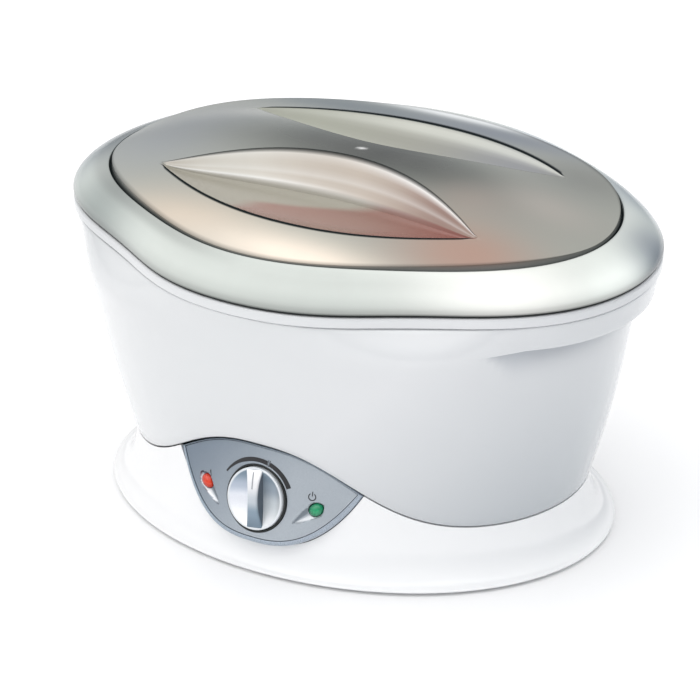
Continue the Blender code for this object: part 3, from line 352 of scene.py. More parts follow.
class Finish:
    """Builds the node tree of a material, or of the world."""

    def __init__(self, name, kind=bpy.data.materials):
        self.owner = kind.new(name)
        self.owner.use_nodes = True
        self.tree = self.owner.node_tree
        self.tree.nodes.clear()
        self.places = self.node("TexCoord").outputs
        self.place = self.places["Object"]

    def node(self, kind, inputs=None, **settings):
        """A node; each input is a socket to link, a number, a vector, or a colour of three numbers."""
        made = self.tree.nodes.new("ShaderNode" + kind)
        for key, value in settings.items():
            setattr(made, key, value)
        for key, value in (inputs or {}).items():
            socket = made.inputs[key]
            if isinstance(value, bpy.types.NodeSocket):
                self.tree.links.new(value, socket)
            else:
                socket.default_value = (*value, 1.0) if socket.type == "RGBA" else value
        return made

    def noise(self, scale, detail=2.0, roughness=0.5, stretch=None):
        """Noise in object space, its scale in cells per metre."""
        where = self.place
        if stretch:
            where = self.node("Mapping", {"Vector": where, "Scale": stretch}).outputs[0]
        return self.node("TexNoise", {"Vector": where, "Scale": scale, "Detail": detail,
                                      "Roughness": roughness}).outputs["Fac"]

    def spread(self, value, low, high, from_low=0.35, from_high=0.65, **settings):
        return self.node("MapRange", {"Value": value, "From Min": from_low, "From Max": from_high,
                                      "To Min": low, "To Max": high}, **settings).outputs["Result"]

    def math(self, operation, first, second=0.0):
        return self.node("Math", {0: first, 1: second}, operation=operation).outputs[0]

    def mix(self, factor, first, second):
        return self.node("Mix", {"Factor": factor, 6: first, 7: second}, data_type="RGBA").outputs[2]

    def slant(self, fall):
        """The distance along +X, less the height times fall."""
        axes = self.node("SeparateXYZ", {0: self.place}).outputs
        return self.math("SUBTRACT", axes["X"], self.math("MULTIPLY", axes["Z"], fall))

    def ramp(self, value, stops):
        """A colour by value, from (value, colour) stops."""
        low, high = stops[0][0], stops[-1][0]
        made = self.node("ValToRGB", {"Fac": self.spread(value, 0.0, 1.0, low, high)})
        made_stops = made.color_ramp.elements
        made_stops.remove(made_stops[1])
        made_stops[0].color = (*stops[0][1], 1.0)
        for place, colour in stops[1:]:
            made_stops.new((place - low) / (high - low)).color = (*colour, 1.0)
        return made.outputs["Color"]

    def attribute(self, name, output="Fac"):
        return self.node("Attribute", attribute_name=name).outputs[output]

    def principled(self, bump=(), **inputs):
        """The surface itself; bump is the height, the strength and the distance of its relief."""
        named = {key.replace("_", " "): value for key, value in inputs.items()}
        if bump:
            relief = self.node("Bump", dict(zip(("Height", "Strength", "Distance"), bump)))
            named["Normal"] = relief.outputs["Normal"]
        return self.node("BsdfPrincipled", named)

    def done(self, shader, output="OutputMaterial"):
        self.node(output, {"Surface": shader.outputs[0]})
        return self.owner


def speckled(name, colour, darker, roughness, metallic, grain, bump=0.05, coat=0.0, stretch=None):
    """A moulded, drawn or pressed finish: fine grain in its colour, roughness and height."""
    finish = Finish(name)
    fine = finish.noise(grain, 3.0, 0.6, stretch)
    shade = finish.mix(finish.spread(finish.noise(14.0), 0.0, 1.0), colour, darker)
    return finish.done(finish.principled(
        (fine, bump, 0.0004), Base_Color=finish.mix(finish.spread(fine, 0.0, 0.35), shade, darker),
        Metallic=metallic, Roughness=finish.spread(fine, roughness * 0.85, roughness * 1.2),
        Coat_Weight=coat, Coat_Roughness=0.06))


def gloss_white(name, light_and_shade_tones):
    """Glossy white plastic, its colour painted with light and shade along the slant from upper left to lower
    right, and painted with shade under the handle lips where a piece stores it.
    """
    finish = Finish(name)
    peel = finish.noise(420.0)
    # painted light and shade: the tone along the slant stands for how light falls across the shell
    tone = finish.ramp(finish.slant(1.0), light_and_shade_tones)
    tone = finish.mix(finish.spread(finish.noise(9.0), 0.0, 0.04), tone, (0.50, 0.51, 0.53))
    # painted shade under the handle lips, toward a cool grey
    return finish.done(finish.principled(
        (peel, 0.03, 0.0003), Base_Color=finish.mix(finish.attribute("under_lip_shade"), tone, (0.27, 0.30, 0.35)),
        Roughness=finish.spread(peel, 0.16, 0.24), Coat_Weight=0.6, Coat_Roughness=0.05))


def smoked_lid():
    """Smoke-tinted clear plastic: glossy and part see-through, coloured by place with painted reflections,
    highlights and shade, and black, dull and opaque along its painted shade lines at the grooves, recess edges and
    foot.
    """
    finish = Finish("smoked_clear_plastic")
    line = finish.attribute("line")
    cloud = finish.noise(26.0, 3.0)
    # the stored tint is the smoke colour with painted reflections, highlights and shade, and the wax seen through
    shade = finish.mix(finish.spread(cloud, 0.0, 0.08), finish.attribute("tint", "Color"), (0.30, 0.29, 0.28))
    # painted shade lines: black, dull and opaque where the line is
    gloss = finish.math("SUBTRACT", 1.0, line)
    plastic = finish.principled(
        (finish.noise(300.0), 0.01, 0.0002), Base_Color=finish.mix(line, shade, (0.010, 0.014, 0.015)),
        Roughness=finish.spread(cloud, 0.16, 0.24), Specular_IOR_Level=finish.math("MULTIPLY", gloss, 0.28),
        Coat_Weight=finish.math("MULTIPLY", gloss, 0.12), Coat_Roughness=0.04)
    clear = finish.node("BsdfTransparent", {"Color": (0.62, 0.58, 0.55)})
    opacity = finish.math("MAXIMUM", finish.attribute("tint", "Alpha"), line)
    return finish.done(finish.node("MixShader", {0: opacity, 1: clear.outputs[0], 2: plastic.outputs[0]}))


def silver_paint(name, light, dark, roughness, metallic, span):
    """Metallic paint with fine flakes: painted shade at the start of the slant in span and painted reflected light
    at its end, with a painted highlight and painted shade where a piece stores a glint.
    """
    finish = Finish(name)
    flake = finish.noise(3200.0, 1.0)
    share = finish.spread(finish.slant(0.6), 0.0, 1.0, *span, interpolation_type="SMOOTHSTEP")
    shade = finish.mix(share, dark, light)
    glint = finish.attribute("glint")
    # a painted highlight where the glint is above 0, and painted shade where it is below 0
    for sign, tone in ((1.0, (0.95, 0.96, 0.98)), (-1.0, (0.07, 0.09, 0.11))):
        amount = finish.math("MAXIMUM", finish.math("MULTIPLY", glint, sign), 0.0)
        shade = finish.mix(amount, shade, tone)
    shade = finish.mix(finish.spread(flake, 0.0, 0.22), shade, dark)
    shade = finish.mix(finish.spread(finish.noise(18.0), 0.0, 0.12), shade, dark)
    return finish.done(finish.principled(
        (flake, 0.02, 0.0002), Base_Color=shade, Metallic=metallic,
        Roughness=finish.spread(flake, roughness * 0.9, roughness * 1.15), Coat_Weight=0.3,
        Coat_Roughness=0.10))


def shaded_silver():
    """The knob's satin metal, whose painted light and shade by place is stored on its mesh."""
    finish = Finish("knob_silver")
    flake = finish.noise(2600.0)
    shade = finish.attribute("shade", "Color")
    shade = finish.mix(finish.spread(flake, 0.0, 0.10), shade, (0.30, 0.34, 0.38))
    return finish.done(finish.principled(
        (flake, 0.02, 0.0002), Base_Color=shade, Metallic=0.35, Roughness=finish.spread(flake, 0.30, 0.38),
        Coat_Weight=0.15, Coat_Roughness=0.10))


def jewel(name, deep, bright):
    """A coloured lens that is bright in the middle and deep at its edges."""
    finish = Finish(name)
    facing = finish.node("LayerWeight", {"Blend": 0.45}).outputs["Facing"]
    cell = finish.noise(700.0, 1.0)
    shade = finish.mix(finish.spread(facing, 0.0, 1.0, 0.1, 0.8), bright, deep)
    shade = finish.mix(finish.spread(cell, 0.0, 0.3), shade, deep)
    return finish.done(finish.principled(
        (cell, 0.05, 0.0003), Base_Color=shade, Roughness=0.10, Specular_IOR_Level=0.4,
        Coat_Weight=0.6, Coat_Roughness=0.02, Emission_Color=shade, Emission_Strength=0.10))


def melted_wax():
    finish = Finish("melted_wax")
    swirl = finish.spread(finish.noise(13.0, 4.0, 0.6), 0.0, 1.0, 0.40, 0.60)
    fine = finish.noise(60.0, 3.0)
    return finish.done(finish.principled(
        (fine, 0.12, 0.0015), Base_Color=finish.mix(swirl, (0.80, 0.36, 0.31), (0.90, 0.66, 0.52)),
        Roughness=finish.spread(fine, 0.22, 0.34), Coat_Weight=0.5,
        Subsurface_Weight=0.25, Subsurface_Radius=(0.01, 0.005, 0.003)))


# painted light on the base: its tone is lighter toward the lower right
BASE_WHITE = gloss_white("gloss_white_base", ((-0.16, (0.81, 0.81, 0.815)), (0.16, (0.92, 0.93, 0.94))))
# painted shade toward the bezel's left and painted reflected light toward its right
BEZEL_SILVER = silver_paint("bezel_silver", (0.40, 0.45, 0.52), (0.28, 0.34, 0.40), 0.28, 0.7,
                            (-0.100, 0.050))
KNOB_SILVER = shaded_silver()
WAX = melted_wax()

# a speckled finish for each material slot: its colour, its darker colour, its roughness, how metallic it is,
# its grain in cells per metre, and then the height of the grain, a clear coat and a stretch where it has them
SPECKLED = {
    "dark_rubber": ((0.016, 0.020, 0.020), (0.006, 0.008, 0.008), 0.55, 0.0, 1500.0, 0.1),
    "lead_rubber": ((0.62, 0.63, 0.65), (0.50, 0.51, 0.53), 0.42, 0.0, 1300.0, 0.08),
    "pointer_ink": ((0.36, 0.37, 0.40), (0.28, 0.29, 0.32), 0.4, 0.0, 2400.0, 0.02),
    "black_print": ((0.018, 0.018, 0.022), (0.008, 0.008, 0.010), 0.35, 0.0, 2400.0, 0.02),
    "grey_plastic": ((0.25, 0.27, 0.29), (0.17, 0.18, 0.20), 0.5, 0.0, 1200.0, 0.1),
    "grille_plastic": ((0.72, 0.72, 0.69), (0.60, 0.60, 0.57), 0.45, 0.0, 900.0),
    "block_nylon": ((0.66, 0.64, 0.56), (0.52, 0.50, 0.43), 0.50, 0.0, 800.0, 0.1),
    "mineral_felt": ((0.56, 0.52, 0.44), (0.36, 0.33, 0.28), 0.95, 0.0, 500.0, 0.8),
    "fuse_ceramic": ((0.74, 0.72, 0.66), (0.58, 0.55, 0.50), 0.35, 0.0, 1300.0),
    "lamp_glass": ((0.80, 0.74, 0.62), (0.62, 0.52, 0.38), 0.10, 0.0, 700.0, 0.05, 0.8),
    "live_wire": ((0.22, 0.08, 0.035), (0.13, 0.05, 0.02), 0.42, 0.0, 1600.0),
    "heater_wire": ((0.46, 0.05, 0.03), (0.30, 0.03, 0.02), 0.42, 0.0, 1600.0),
    "fuse_wire": ((0.74, 0.71, 0.64), (0.60, 0.57, 0.50), 0.42, 0.0, 1600.0),
    "neutral_wire": ((0.03, 0.10, 0.38), (0.02, 0.06, 0.25), 0.42, 0.0, 1600.0),
    "earth_wire": ((0.18, 0.42, 0.07), (0.45, 0.46, 0.06), 0.42, 0.0, 300.0, 0.05, 0.0, (1.0, 1.0, 3.0)),
    "aluminium": ((0.78, 0.79, 0.80), (0.62, 0.63, 0.65), 0.32, 1.0, 260.0, 0.05, 0.0, (1.0, 1.0, 7.0)),
    "steel": ((0.62, 0.63, 0.65), (0.42, 0.43, 0.45), 0.28, 1.0, 1100.0, 0.06),
    "brass": ((0.76, 0.60, 0.30), (0.55, 0.42, 0.20), 0.26, 1.0, 1200.0),
    "copper": ((0.66, 0.30, 0.16), (0.42, 0.18, 0.10), 0.30, 1.0, 1500.0),
}
FINISHES = {slot: speckled(f"{slot}_finish", *look) for slot, look in SPECKLED.items()} | {
    # painted light and shade along the housing's slant: darker at the upper left end, lightest in the middle,
    # darkest at the lower right
    "white_plastic": gloss_white("gloss_white_housing", (
        (-0.36, (0.45, 0.47, 0.48)), (-0.25, (0.63, 0.64, 0.65)), (-0.16, (0.665, 0.68, 0.69)),
        (-0.05, (0.70, 0.71, 0.725)), (0.03, (0.60, 0.62, 0.64)), (0.12, (0.45, 0.485, 0.515)))),
    # painted shade toward the fascia's left and painted reflected light toward its right
    "silver_plastic": silver_paint("silver_paint", (0.46, 0.50, 0.54), (0.13, 0.17, 0.22), 0.36, 0.45,
                                   (-0.105, 0.005)),
    "smoke_polycarbonate": smoked_lid(),
    "red_lens": jewel("red_jewel", (0.24, 0.006, 0.003), (0.70, 0.040, 0.006)),
    "green_lens": jewel("green_jewel", (0.0, 0.07, 0.04), (0.0, 0.30, 0.12)),
}


# ---------------------------------------------------------------- shell surfaces


def wall_radius(angle, z):
    t = (z - WALL_FOOT_Z) / (WALL_TOP_Z - WALL_FOOT_Z)
    a, b = (foot + slope * t + curve * t * t for foot, slope, curve in (WALL_HALF_LENGTH, WALL_HALF_WIDTH))
    return radius_of(oval(a, b, -0.0001 - 0.0021 * t, 0.0, b * WALL_REAR_SHARE), angle)


def seam_rise(x):
    return SEAM_RISE * exp(-(abs(x) / SEAM_REACH) ** SEAM_POWER)


def seam_point(angle):
    z = SEAM_Z
    for _ in range(14):
        r = wall_radius(angle, z)
        z = SEAM_Z + (seam_rise(r * cos(angle)) if sin(angle) < 0 else 0.0)
    return wall_radius(angle, z), z


def brim_radius(angle, inset=0.0):
    a, b = BASE_HIGH.x - inset, -BASE_LOW.y - inset
    return a * b / sqrt((b * cos(angle)) ** 2 + (a * sin(angle)) ** 2)


def plain_radius(angle, z):
    """The housing's wall away from the lips, which flares out to meet the rim ring."""
    reach = radius_of(RIM, angle) - LIP_SETBACK - wall_radius(angle, GROOVE_Z)
    flare = max(z - WALL_TOP_Z, 0.0) / (GROOVE_Z - WALL_TOP_Z)
    return wall_radius(angle, z) + reach * flare ** 2


def lip_fade(angle):
    """How far the handle lip stands out at an angle: 0 at the front and back, 1 at the ends."""
    return smoothstep(LIP_FADE_FROM, LIP_FADE_TO, abs(radius_of(RIM, angle) * cos(angle)))


def lip_radius(angle, z):
    plain = plain_radius(angle, z)
    lip = radius_of(RIM, angle) - LIP_SETBACK - LIP_TAPER * (GROOVE_Z - z) / (GROOVE_Z - LIP_FOOT_Z)
    return plain + (max(lip, plain) - plain) * lip_fade(angle)


def under_lip_radius(angle, z):
    """The wall just below the lip, hollowed a little where the fingers go."""
    depth = max(LIP_FOOT_Z - z, 0.0) / SCOOP_REACH
    return plain_radius(angle, z) - SCOOP_DEPTH * lip_fade(angle) * exp(-(depth * 1.6) ** 2)


# ---------------------------------------------------------------- housing, rim ring and base


def build_housing():
    edge = 0.0007

    def wall_row(t, inset=0.0):
        def place(angle):
            foot = seam_point(angle)[1] + HAIRLINE
            z = foot + (LIP_FOOT_Z - foot) * t
            return under_lip_radius(angle, z) - inset, z
        return polar_ring(place)

    def lip_row(z, inset=0.0):
        return polar_ring(lambda angle: (lip_radius(angle, z) - inset, z))

    def lip_edge(rise, inset):
        z = LIP_FOOT_Z + rise
        return polar_ring(lambda angle: (lip_radius(angle, z) - inset * lip_fade(angle), z))

    rows = [wall_row(0.0, edge), wall_row(0.003, edge * 0.3), wall_row(0.008)]
    rows += [wall_row(t) for t in (0.06, 0.14, 0.24, 0.34, 0.44, 0.54, 0.64, 0.72, 0.79, 0.84, 0.88, 0.91,
                                   0.935, 0.955, 0.97, 0.985, 0.999)]
    rows += [lip_edge(0.0002, 0.0007), lip_edge(0.0004, 0.0003), lip_edge(0.0008, 0.0)]
    rows += [lip_row(LIP_FOOT_Z + 0.0008 + (GROOVE_Z - LIP_FOOT_Z - 0.0021) * k / 6) for k in range(1, 7)]
    rows += [lip_row(GROOVE_Z - 0.0008, 0.0002), lip_row(GROOVE_Z - 0.0005, 0.0008)]
    rows += rings(RIM, (-0.0160, GROOVE_Z - 0.0005), (-0.0160, GROOVE_Z - 0.0028))
    rows += [lip_row(0.1700, SHELL), lip_row(LIP_FOOT_Z + 0.0060, SHELL)]
    rows += [wall_row(t, SHELL + 0.0004) for t in (0.985, 0.9, 0.5, 0.0)]
    shell = place_mesh("housing_shell", skin(rows, loop=True), "root", ["housing"], "white_plastic",
                       sharp=radians(55))
    # painted shade under each handle lip: darkest just below the lip, fading down the wall, thin at the lip's
    # front end
    layer = shell.data.attributes.new("under_lip_shade", "FLOAT", "POINT")
    for vertex, value in zip(shell.data.vertices, layer.data):
        x, y, z = vertex.co
        if z < LIP_FOOT_Z + 0.0001:
            fade = smoothstep(0.0, 0.7, lip_fade(atan2(y, x)))
            depth = (LIP_FOOT_Z - z) / SCOOP_REACH / (0.12 + 0.88 * fade)
            value.value = 0.55 * min(fade * 5, 1.0) * exp(-(depth * 1.1) ** 2)


def build_rim_ring():
    seat_z, soft = TUB_RIM_Z + HAIRLINE, 0.0020
    turns = [radians(18 * k) for k in range(1, 6)]
    rows = rings(RIM, (-0.0006, GROOVE_Z + 0.0001), (0, GROOVE_Z + 0.0007), (0, RIM_TOP_Z - soft),
                 *((-soft * (1 - cos(t)), RIM_TOP_Z - soft * (1 - sin(t))) for t in turns),
                 (-0.0200, RIM_TOP_Z))
    rows += rings(MOUTH, (0.0012, RIM_TOP_Z - 0.0003), (0, RIM_TOP_Z - 0.0012), (0, seat_z))
    rows += rings(RIM, (-0.0060, seat_z), (-0.0060, GROOVE_Z + 0.0001))
    place_mesh("rim_band", skin(rows, loop=True), "root", ["rim_ring"], "white_plastic")


def build_lid_seal():
    # a dark rubber seal bead; its black also serves as painted shade for the gap between the rim and the lid
    low, high = SEAL_LOW.z, SEAL_HIGH.z
    rows = rings(RIM, (-0.0011, low), (-0.0008, (low + high) / 2), (-0.0011, high), (-0.0052, high),
                 (-0.0052, low))
    place_mesh("seal_bead", skin(rows, loop=True), "root", ["lid_seal"], "dark_rubber")


def build_base():
    def flare_row(degrees, inset=0.0):
        turn = radians(degrees)

        def place(angle):
            top_r, top_z = seam_point(angle)
            top_z -= HAIRLINE
            reach = brim_radius(angle, BRIM_EDGE) - top_r
            r = top_r + reach * (1 - cos(turn)) - inset
            if inset:
                r = min(r, brim_radius(angle, COVER_INSET))
            return r, BRIM_TOP_Z + (top_z - BRIM_TOP_Z) * (1 - sin(turn))
        return polar_ring(place)

    rows = [flare_row(degrees) for degrees in range(0, 88, 4)]
    brim = ((BRIM_EDGE, BRIM_TOP_Z), (0.0001, 0.0034), (0.0, 0.0029), (0.0002, 0.0024), (0.0009, BRIM_FOOT_Z),
            (COVER_INSET, BRIM_FOOT_Z), (COVER_INSET, 0.0052))
    rows += [polar_ring(lambda angle: (brim_radius(angle, inset), z)) for inset, z in brim]
    rows += [flare_row(degrees, SHELL) for degrees in (60, 40, 20, 0)]
    base = place_mesh("pedestal", skin(rows, loop=True), "root", ["base"], "white_plastic", BASE_WHITE)
    front, back, pocket_lift = 0.0040, -0.0240, 0.012
    pocket = skin([[panel_point(0, PANEL_MIDDLE_V, front)], panel_row(HAIRLINE, front, pocket_lift),
                   panel_row(HAIRLINE, back, pocket_lift), [panel_point(0, PANEL_MIDDLE_V, back)]])
    hole = skin(turned_rows(Vector((LEAD_EXIT_X, 0.085, LEAD_EXIT_Z)), Vector((0, 1, 0)),
                            [(0, 0), (LEAD_BORE, 0), (LEAD_BORE, 0.040), (0, 0.040)], 48))
    cut(base, pocket, hole)


# ---------------------------------------------------------------- lid


def step_z(x):
    return LID_STEP_Z - LID_STEP_FALL * (x / RIM.a) ** 2


def lid_height(x, y):
    fade = max(1 - (abs(x) / (LID_STEP.a + 0.004)) ** 2.6, 0.0)
    return step_z(x) + (LID_CROWN_Z - LID_STEP_Z) * fade * exp(-(y / LID_RIDGE_SPREAD) ** 2)


def step_half_width(x, rear):
    side = 1 if rear else -1
    angle = bisect(lambda t: radius_of(LID_STEP, side * t) * cos(t) > abs(x), 0.0, pi / 2)
    return radius_of(LID_STEP, side * angle) * sin(angle)


def recess_rows(x, half_width, rear):
    s = abs(x) / RECESS_TIP_X
    if s < 1:
        inner = RECESS_INNER_Y + (RECESS_TIP_Y - RECESS_INNER_Y) * s ** 1.9
        outer = RECESS_OUTER_Y - (RECESS_OUTER_Y - RECESS_TIP_Y) * s ** 2.1
    else:
        inner = outer = RECESS_TIP_Y * half_width / step_half_width(RECESS_TIP_X, rear)
    middle = (inner + outer) / 2
    spread = max((outer - inner) / 2, 0.0012 * min(1.0, half_width / 0.060))
    return middle - spread, middle + spread


def recess_drop(x, share):
    """Depth below the dome, with a rounded crease between the steep inner wall and the floor."""
    s = min(abs(x) / RECESS_TIP_X, 1.0)
    depth = RECESS_DEPTH * (1 - s ** 2.0) ** 0.8
    wall = share / RECESS_CREASE
    floor = 1 - (max(share - RECESS_CREASE, 0.0) / (1 - RECESS_CREASE)) ** 1.3
    gap = abs(wall - floor)
    soften = 0.07 * exp(-(gap / 0.28) ** 2) * (1 - share)
    return depth * max(min(wall, floor) - soften, 0.0)


LINE_HALF = 0.0011            # half the width of the painted shade line along a recess's edge
FLOOR_SHARES = (0.985, 0.95, 0.9, 0.84, 0.78, 0.72, 0.66, 0.6, 0.54, 0.48, 0.42, 0.37, 0.32, 0.28, 0.25,
                0.225)
WALL_SHARES = (0.205, 0.19, 0.18, 0.17, 0.16, 0.15, 0.138, 0.125, 0.11, 0.095, 0.08, 0.065, 0.05, 0.035,
               0.02)
UNDER_SHARES = (0.9, 0.7, 0.5, 0.35, 0.24, 0.18, 0.14, 0.07)


def lid_half_column(x, rear, lower):
    """Rows of (point, strength of the painted shade line, zone) from the step to near the middle on one side.

    A zone is "top", or the share of a recess's width where the point is in a recess."""
    half = step_half_width(x, rear)
    inner, outer = recess_rows(x, half, rear)
    # line is the strength of the painted shade along a recess's edges
    line = 1.0 if abs(x) < RECESS_TIP_X else 0.0
    fade = smoothstep(RECESS_TIP_X, RECESS_TIP_X * 0.93, abs(x)) if line else 0.0
    width = outer - inner
    rows = [(half, 0.0, 0.55 * groove_shade_strength(x, rear), "top")]
    edge_shade_width = LINE_HALF * fade * (2.3 if rear else 1.0)
    near = outer + edge_shade_width * 1.9 + 0.0002
    rows += [(half + (near - half) * k / 8, 0.0, 0.0, "top") for k in range(1, 9)]
    rows += [(outer + edge_shade_width, 0.0, line, "top"), (outer, 0.0, line, "top")]
    shares = UNDER_SHARES if lower else FLOOR_SHARES + WALL_SHARES
    edge_share = 1 - min(edge_shade_width * 0.8 / max(width, 1e-5), 0.01)
    rows.append((inner + width * edge_share, 0.0, line, "top"))
    rows += [(inner + width * share, recess_drop(x, share), 0.0, share if fade else "top")
             for share in shares]
    rows += [(inner, 0.0, line * (0.8 if rear else 0.85), "top"), (inner - LINE_HALF * 0.5, 0.0, 0.0, "top")]
    rows += [((inner - LINE_HALF * 0.5) * (1 - k / 7), 0.0, 0.0, "top") for k in range(1, 7)]
    side = 1 if rear else -1
    wall = LID_WALL if lower else 0.0
    return [(Vector((x, side * y, lid_height(x, side * y) - drop - wall)), dark, zone)
            for y, drop, dark, zone in rows]


def groove_shade_strength(x, rear):
    """Strength of the painted shade along the step's groove, which fades to a quarter at the rear left."""
    return 1.0 - 0.75 * smoothstep(0.02, -0.08, x) if rear else 1.0


def paint(base, patches, x, y):
    """A colour by place: each patch is (x, y, half length, half width, colour, strength)."""
    colour = Vector(base)
    for cx, cy, rx, ry, tint, strength in patches:
        colour = colour.lerp(Vector(tint), strength * exp(-((x - cx) / rx) ** 2 - ((y - cy) / ry) ** 2))
    return Vector([c ** 2.2 for c in colour])


# the lid's painted reflections, highlights and shade by place, with the warm tones of the wax seen through it;
# each patch a centre, two half sizes, a colour and a strength
TOP_TONE = (0.58, 0.59, 0.56)
TOP_PATCHES = (
    (-0.125, -0.010, 0.045, 0.055, (0.49, 0.51, 0.53), 0.8),
    (-0.060, -0.105, 0.060, 0.030, (0.78, 0.72, 0.65), 0.9),
    (0.030, -0.120, 0.070, 0.024, (0.97, 0.91, 0.84), 1.0),
    (0.112, -0.070, 0.042, 0.032, (0.64, 0.51, 0.45), 0.95),
    (0.010, 0.000, 0.092, 0.029, (0.15, 0.17, 0.16), 1.0),
    (0.122, 0.004, 0.034, 0.024, (0.68, 0.64, 0.61), 0.55),
    (0.084, -0.020, 0.024, 0.018, (0.66, 0.57, 0.53), 0.35),
    (0.118, 0.062, 0.040, 0.036, (0.42, 0.43, 0.41), 0.85),
    (-0.060, 0.092, 0.080, 0.020, (0.36, 0.40, 0.42), 0.9),
    (0.040, 0.098, 0.070, 0.016, (0.40, 0.43, 0.48), 0.8),
    (0.000, 0.113, 0.110, 0.006, (0.98, 0.99, 1.0), 0.8),
)
WALL_TONE = (0.80, 0.76, 0.71)
WALL_PATCHES = (
    (-0.080, 0.000, 0.045, 0.060, (0.95, 0.95, 0.92), 0.9),
    (0.085, 0.000, 0.040, 0.060, (0.50, 0.36, 0.33), 0.85),
)
WALL_END = 0.142              # share of the front recess where its wall's tone gives way to its floor's
FLOOR_TONE, FLOOR_LEFT_TONE = (0.60, 0.45, 0.415), (0.64, 0.625, 0.575)
FLOOR_PATCHES = (
    (0.020, 0.000, 0.055, 0.120, (0.57, 0.43, 0.39), 0.85),
    (0.100, 0.000, 0.035, 0.120, (0.58, 0.36, 0.33), 0.9),
)
REAR_TONE = (0.57, 0.57, 0.53)
REAR_PATCHES = (
    (-0.080, 0.000, 0.050, 0.200, (0.62, 0.63, 0.58), 0.8),
    (0.070, 0.000, 0.050, 0.200, (0.49, 0.50, 0.53), 0.8),
)
BAND_TONE = (0.76, 0.78, 0.76)
BAND_PATCHES = (
    (0.150, -0.085, 0.060, 0.045, (0.96, 0.96, 0.94), 0.95),
    (0.188, -0.020, 0.018, 0.032, (0.95, 0.97, 0.95), 0.9),
    (0.186, 0.030, 0.020, 0.026, (0.46, 0.49, 0.52), 0.97),
    (0.150, 0.085, 0.040, 0.030, (0.52, 0.56, 0.59), 0.9),
    (0.080, 0.126, 0.045, 0.030, (0.70, 0.73, 0.78), 0.9),
    (-0.095, 0.120, 0.050, 0.025, (0.90, 0.91, 0.93), 0.95),
    (-0.155, 0.070, 0.030, 0.035, (0.48, 0.51, 0.54), 0.9),
    (-0.176, -0.012, 0.028, 0.045, (0.36, 0.40, 0.42), 0.95),
    (-0.130, -0.090, 0.040, 0.035, (0.53, 0.56, 0.55), 0.9),
)


def bell(value, centre, width):
    return exp(-((value - centre) / width) ** 2)


def lid_tint_and_light(x, y, zone, height):
    """Colour and opacity of the smoked plastic: painted reflections, highlights and shade by place, warmed where
    the wax shows from below.
    """
    if zone == "band":
        # the band: painted reflections, painted shade near its top at the left and near its foot, and a painted
        # highlight across its middle height
        colour = paint(BAND_TONE, BAND_PATCHES, x, y)
        shaded = colour.lerp(colour * 0.66, smoothstep(0.78, 0.98, height) * smoothstep(0.02, -0.06, x))
        shaded = shaded.lerp(colour * 0.70, smoothstep(0.30, 0.02, height))
        return (*shaded.lerp(colour * 1.16, bell(height, 0.55, 0.24) * 0.8), 0.97)
    if zone == "top":
        # a painted highlight where the lid's crown dot is
        dot = bell(hypot(x, y), 0.0, 0.0014) * 0.9
        return (*paint(TOP_TONE, TOP_PATCHES, x, y).lerp(Vector((0.9, 0.9, 0.9)), dot), 0.90)
    share = zone
    if y > 0:
        # painted highlight streaks along the rear recess
        highlight_streak = smoothstep(-0.12, 0.0, x) * bell(share, 0.93, 0.08) + 0.35 * bell(share, 0.62, 0.03)
        colour = paint(REAR_TONE, REAR_PATCHES, x, y)
        return (*colour.lerp(Vector((0.70, 0.71, 0.65)), 0.65 * highlight_streak), 0.90)
    if share < WALL_END:
        # painted highlights along the wall's inner edge, across its middle and at its crease
        light = bell(share, 0.022, 0.014) * (0.35 + 0.65 * smoothstep(-0.02, 0.06, x))
        light += 0.35 * bell(share, 0.092, 0.012)
        light += 0.9 * bell(share, 0.136, 0.009) * smoothstep(0.05, -0.07, x)
        colour = paint(WALL_TONE, WALL_PATCHES, x, y)
        return (*colour.lerp(Vector((1.0, 1.0, 0.98)), min(light, 1.0)), 0.90)
    across = (share - WALL_END) / (1 - WALL_END)
    warm = smoothstep(-0.046, -0.030, x) * smoothstep(-0.10, 0.06, across - 0.22 + 7.2 * x)
    colour = paint(FLOOR_LEFT_TONE, (), x, y).lerp(paint(FLOOR_TONE, FLOOR_PATCHES, x, y), warm)
    # a painted highlight along the crease at the head of the floor
    glint = 0.45 * bell(share, 0.146, 0.012) * smoothstep(0.08, 0.0, x)
    return (*colour.lerp(Vector((0.95, 0.93, 0.90)), glint), 0.84)


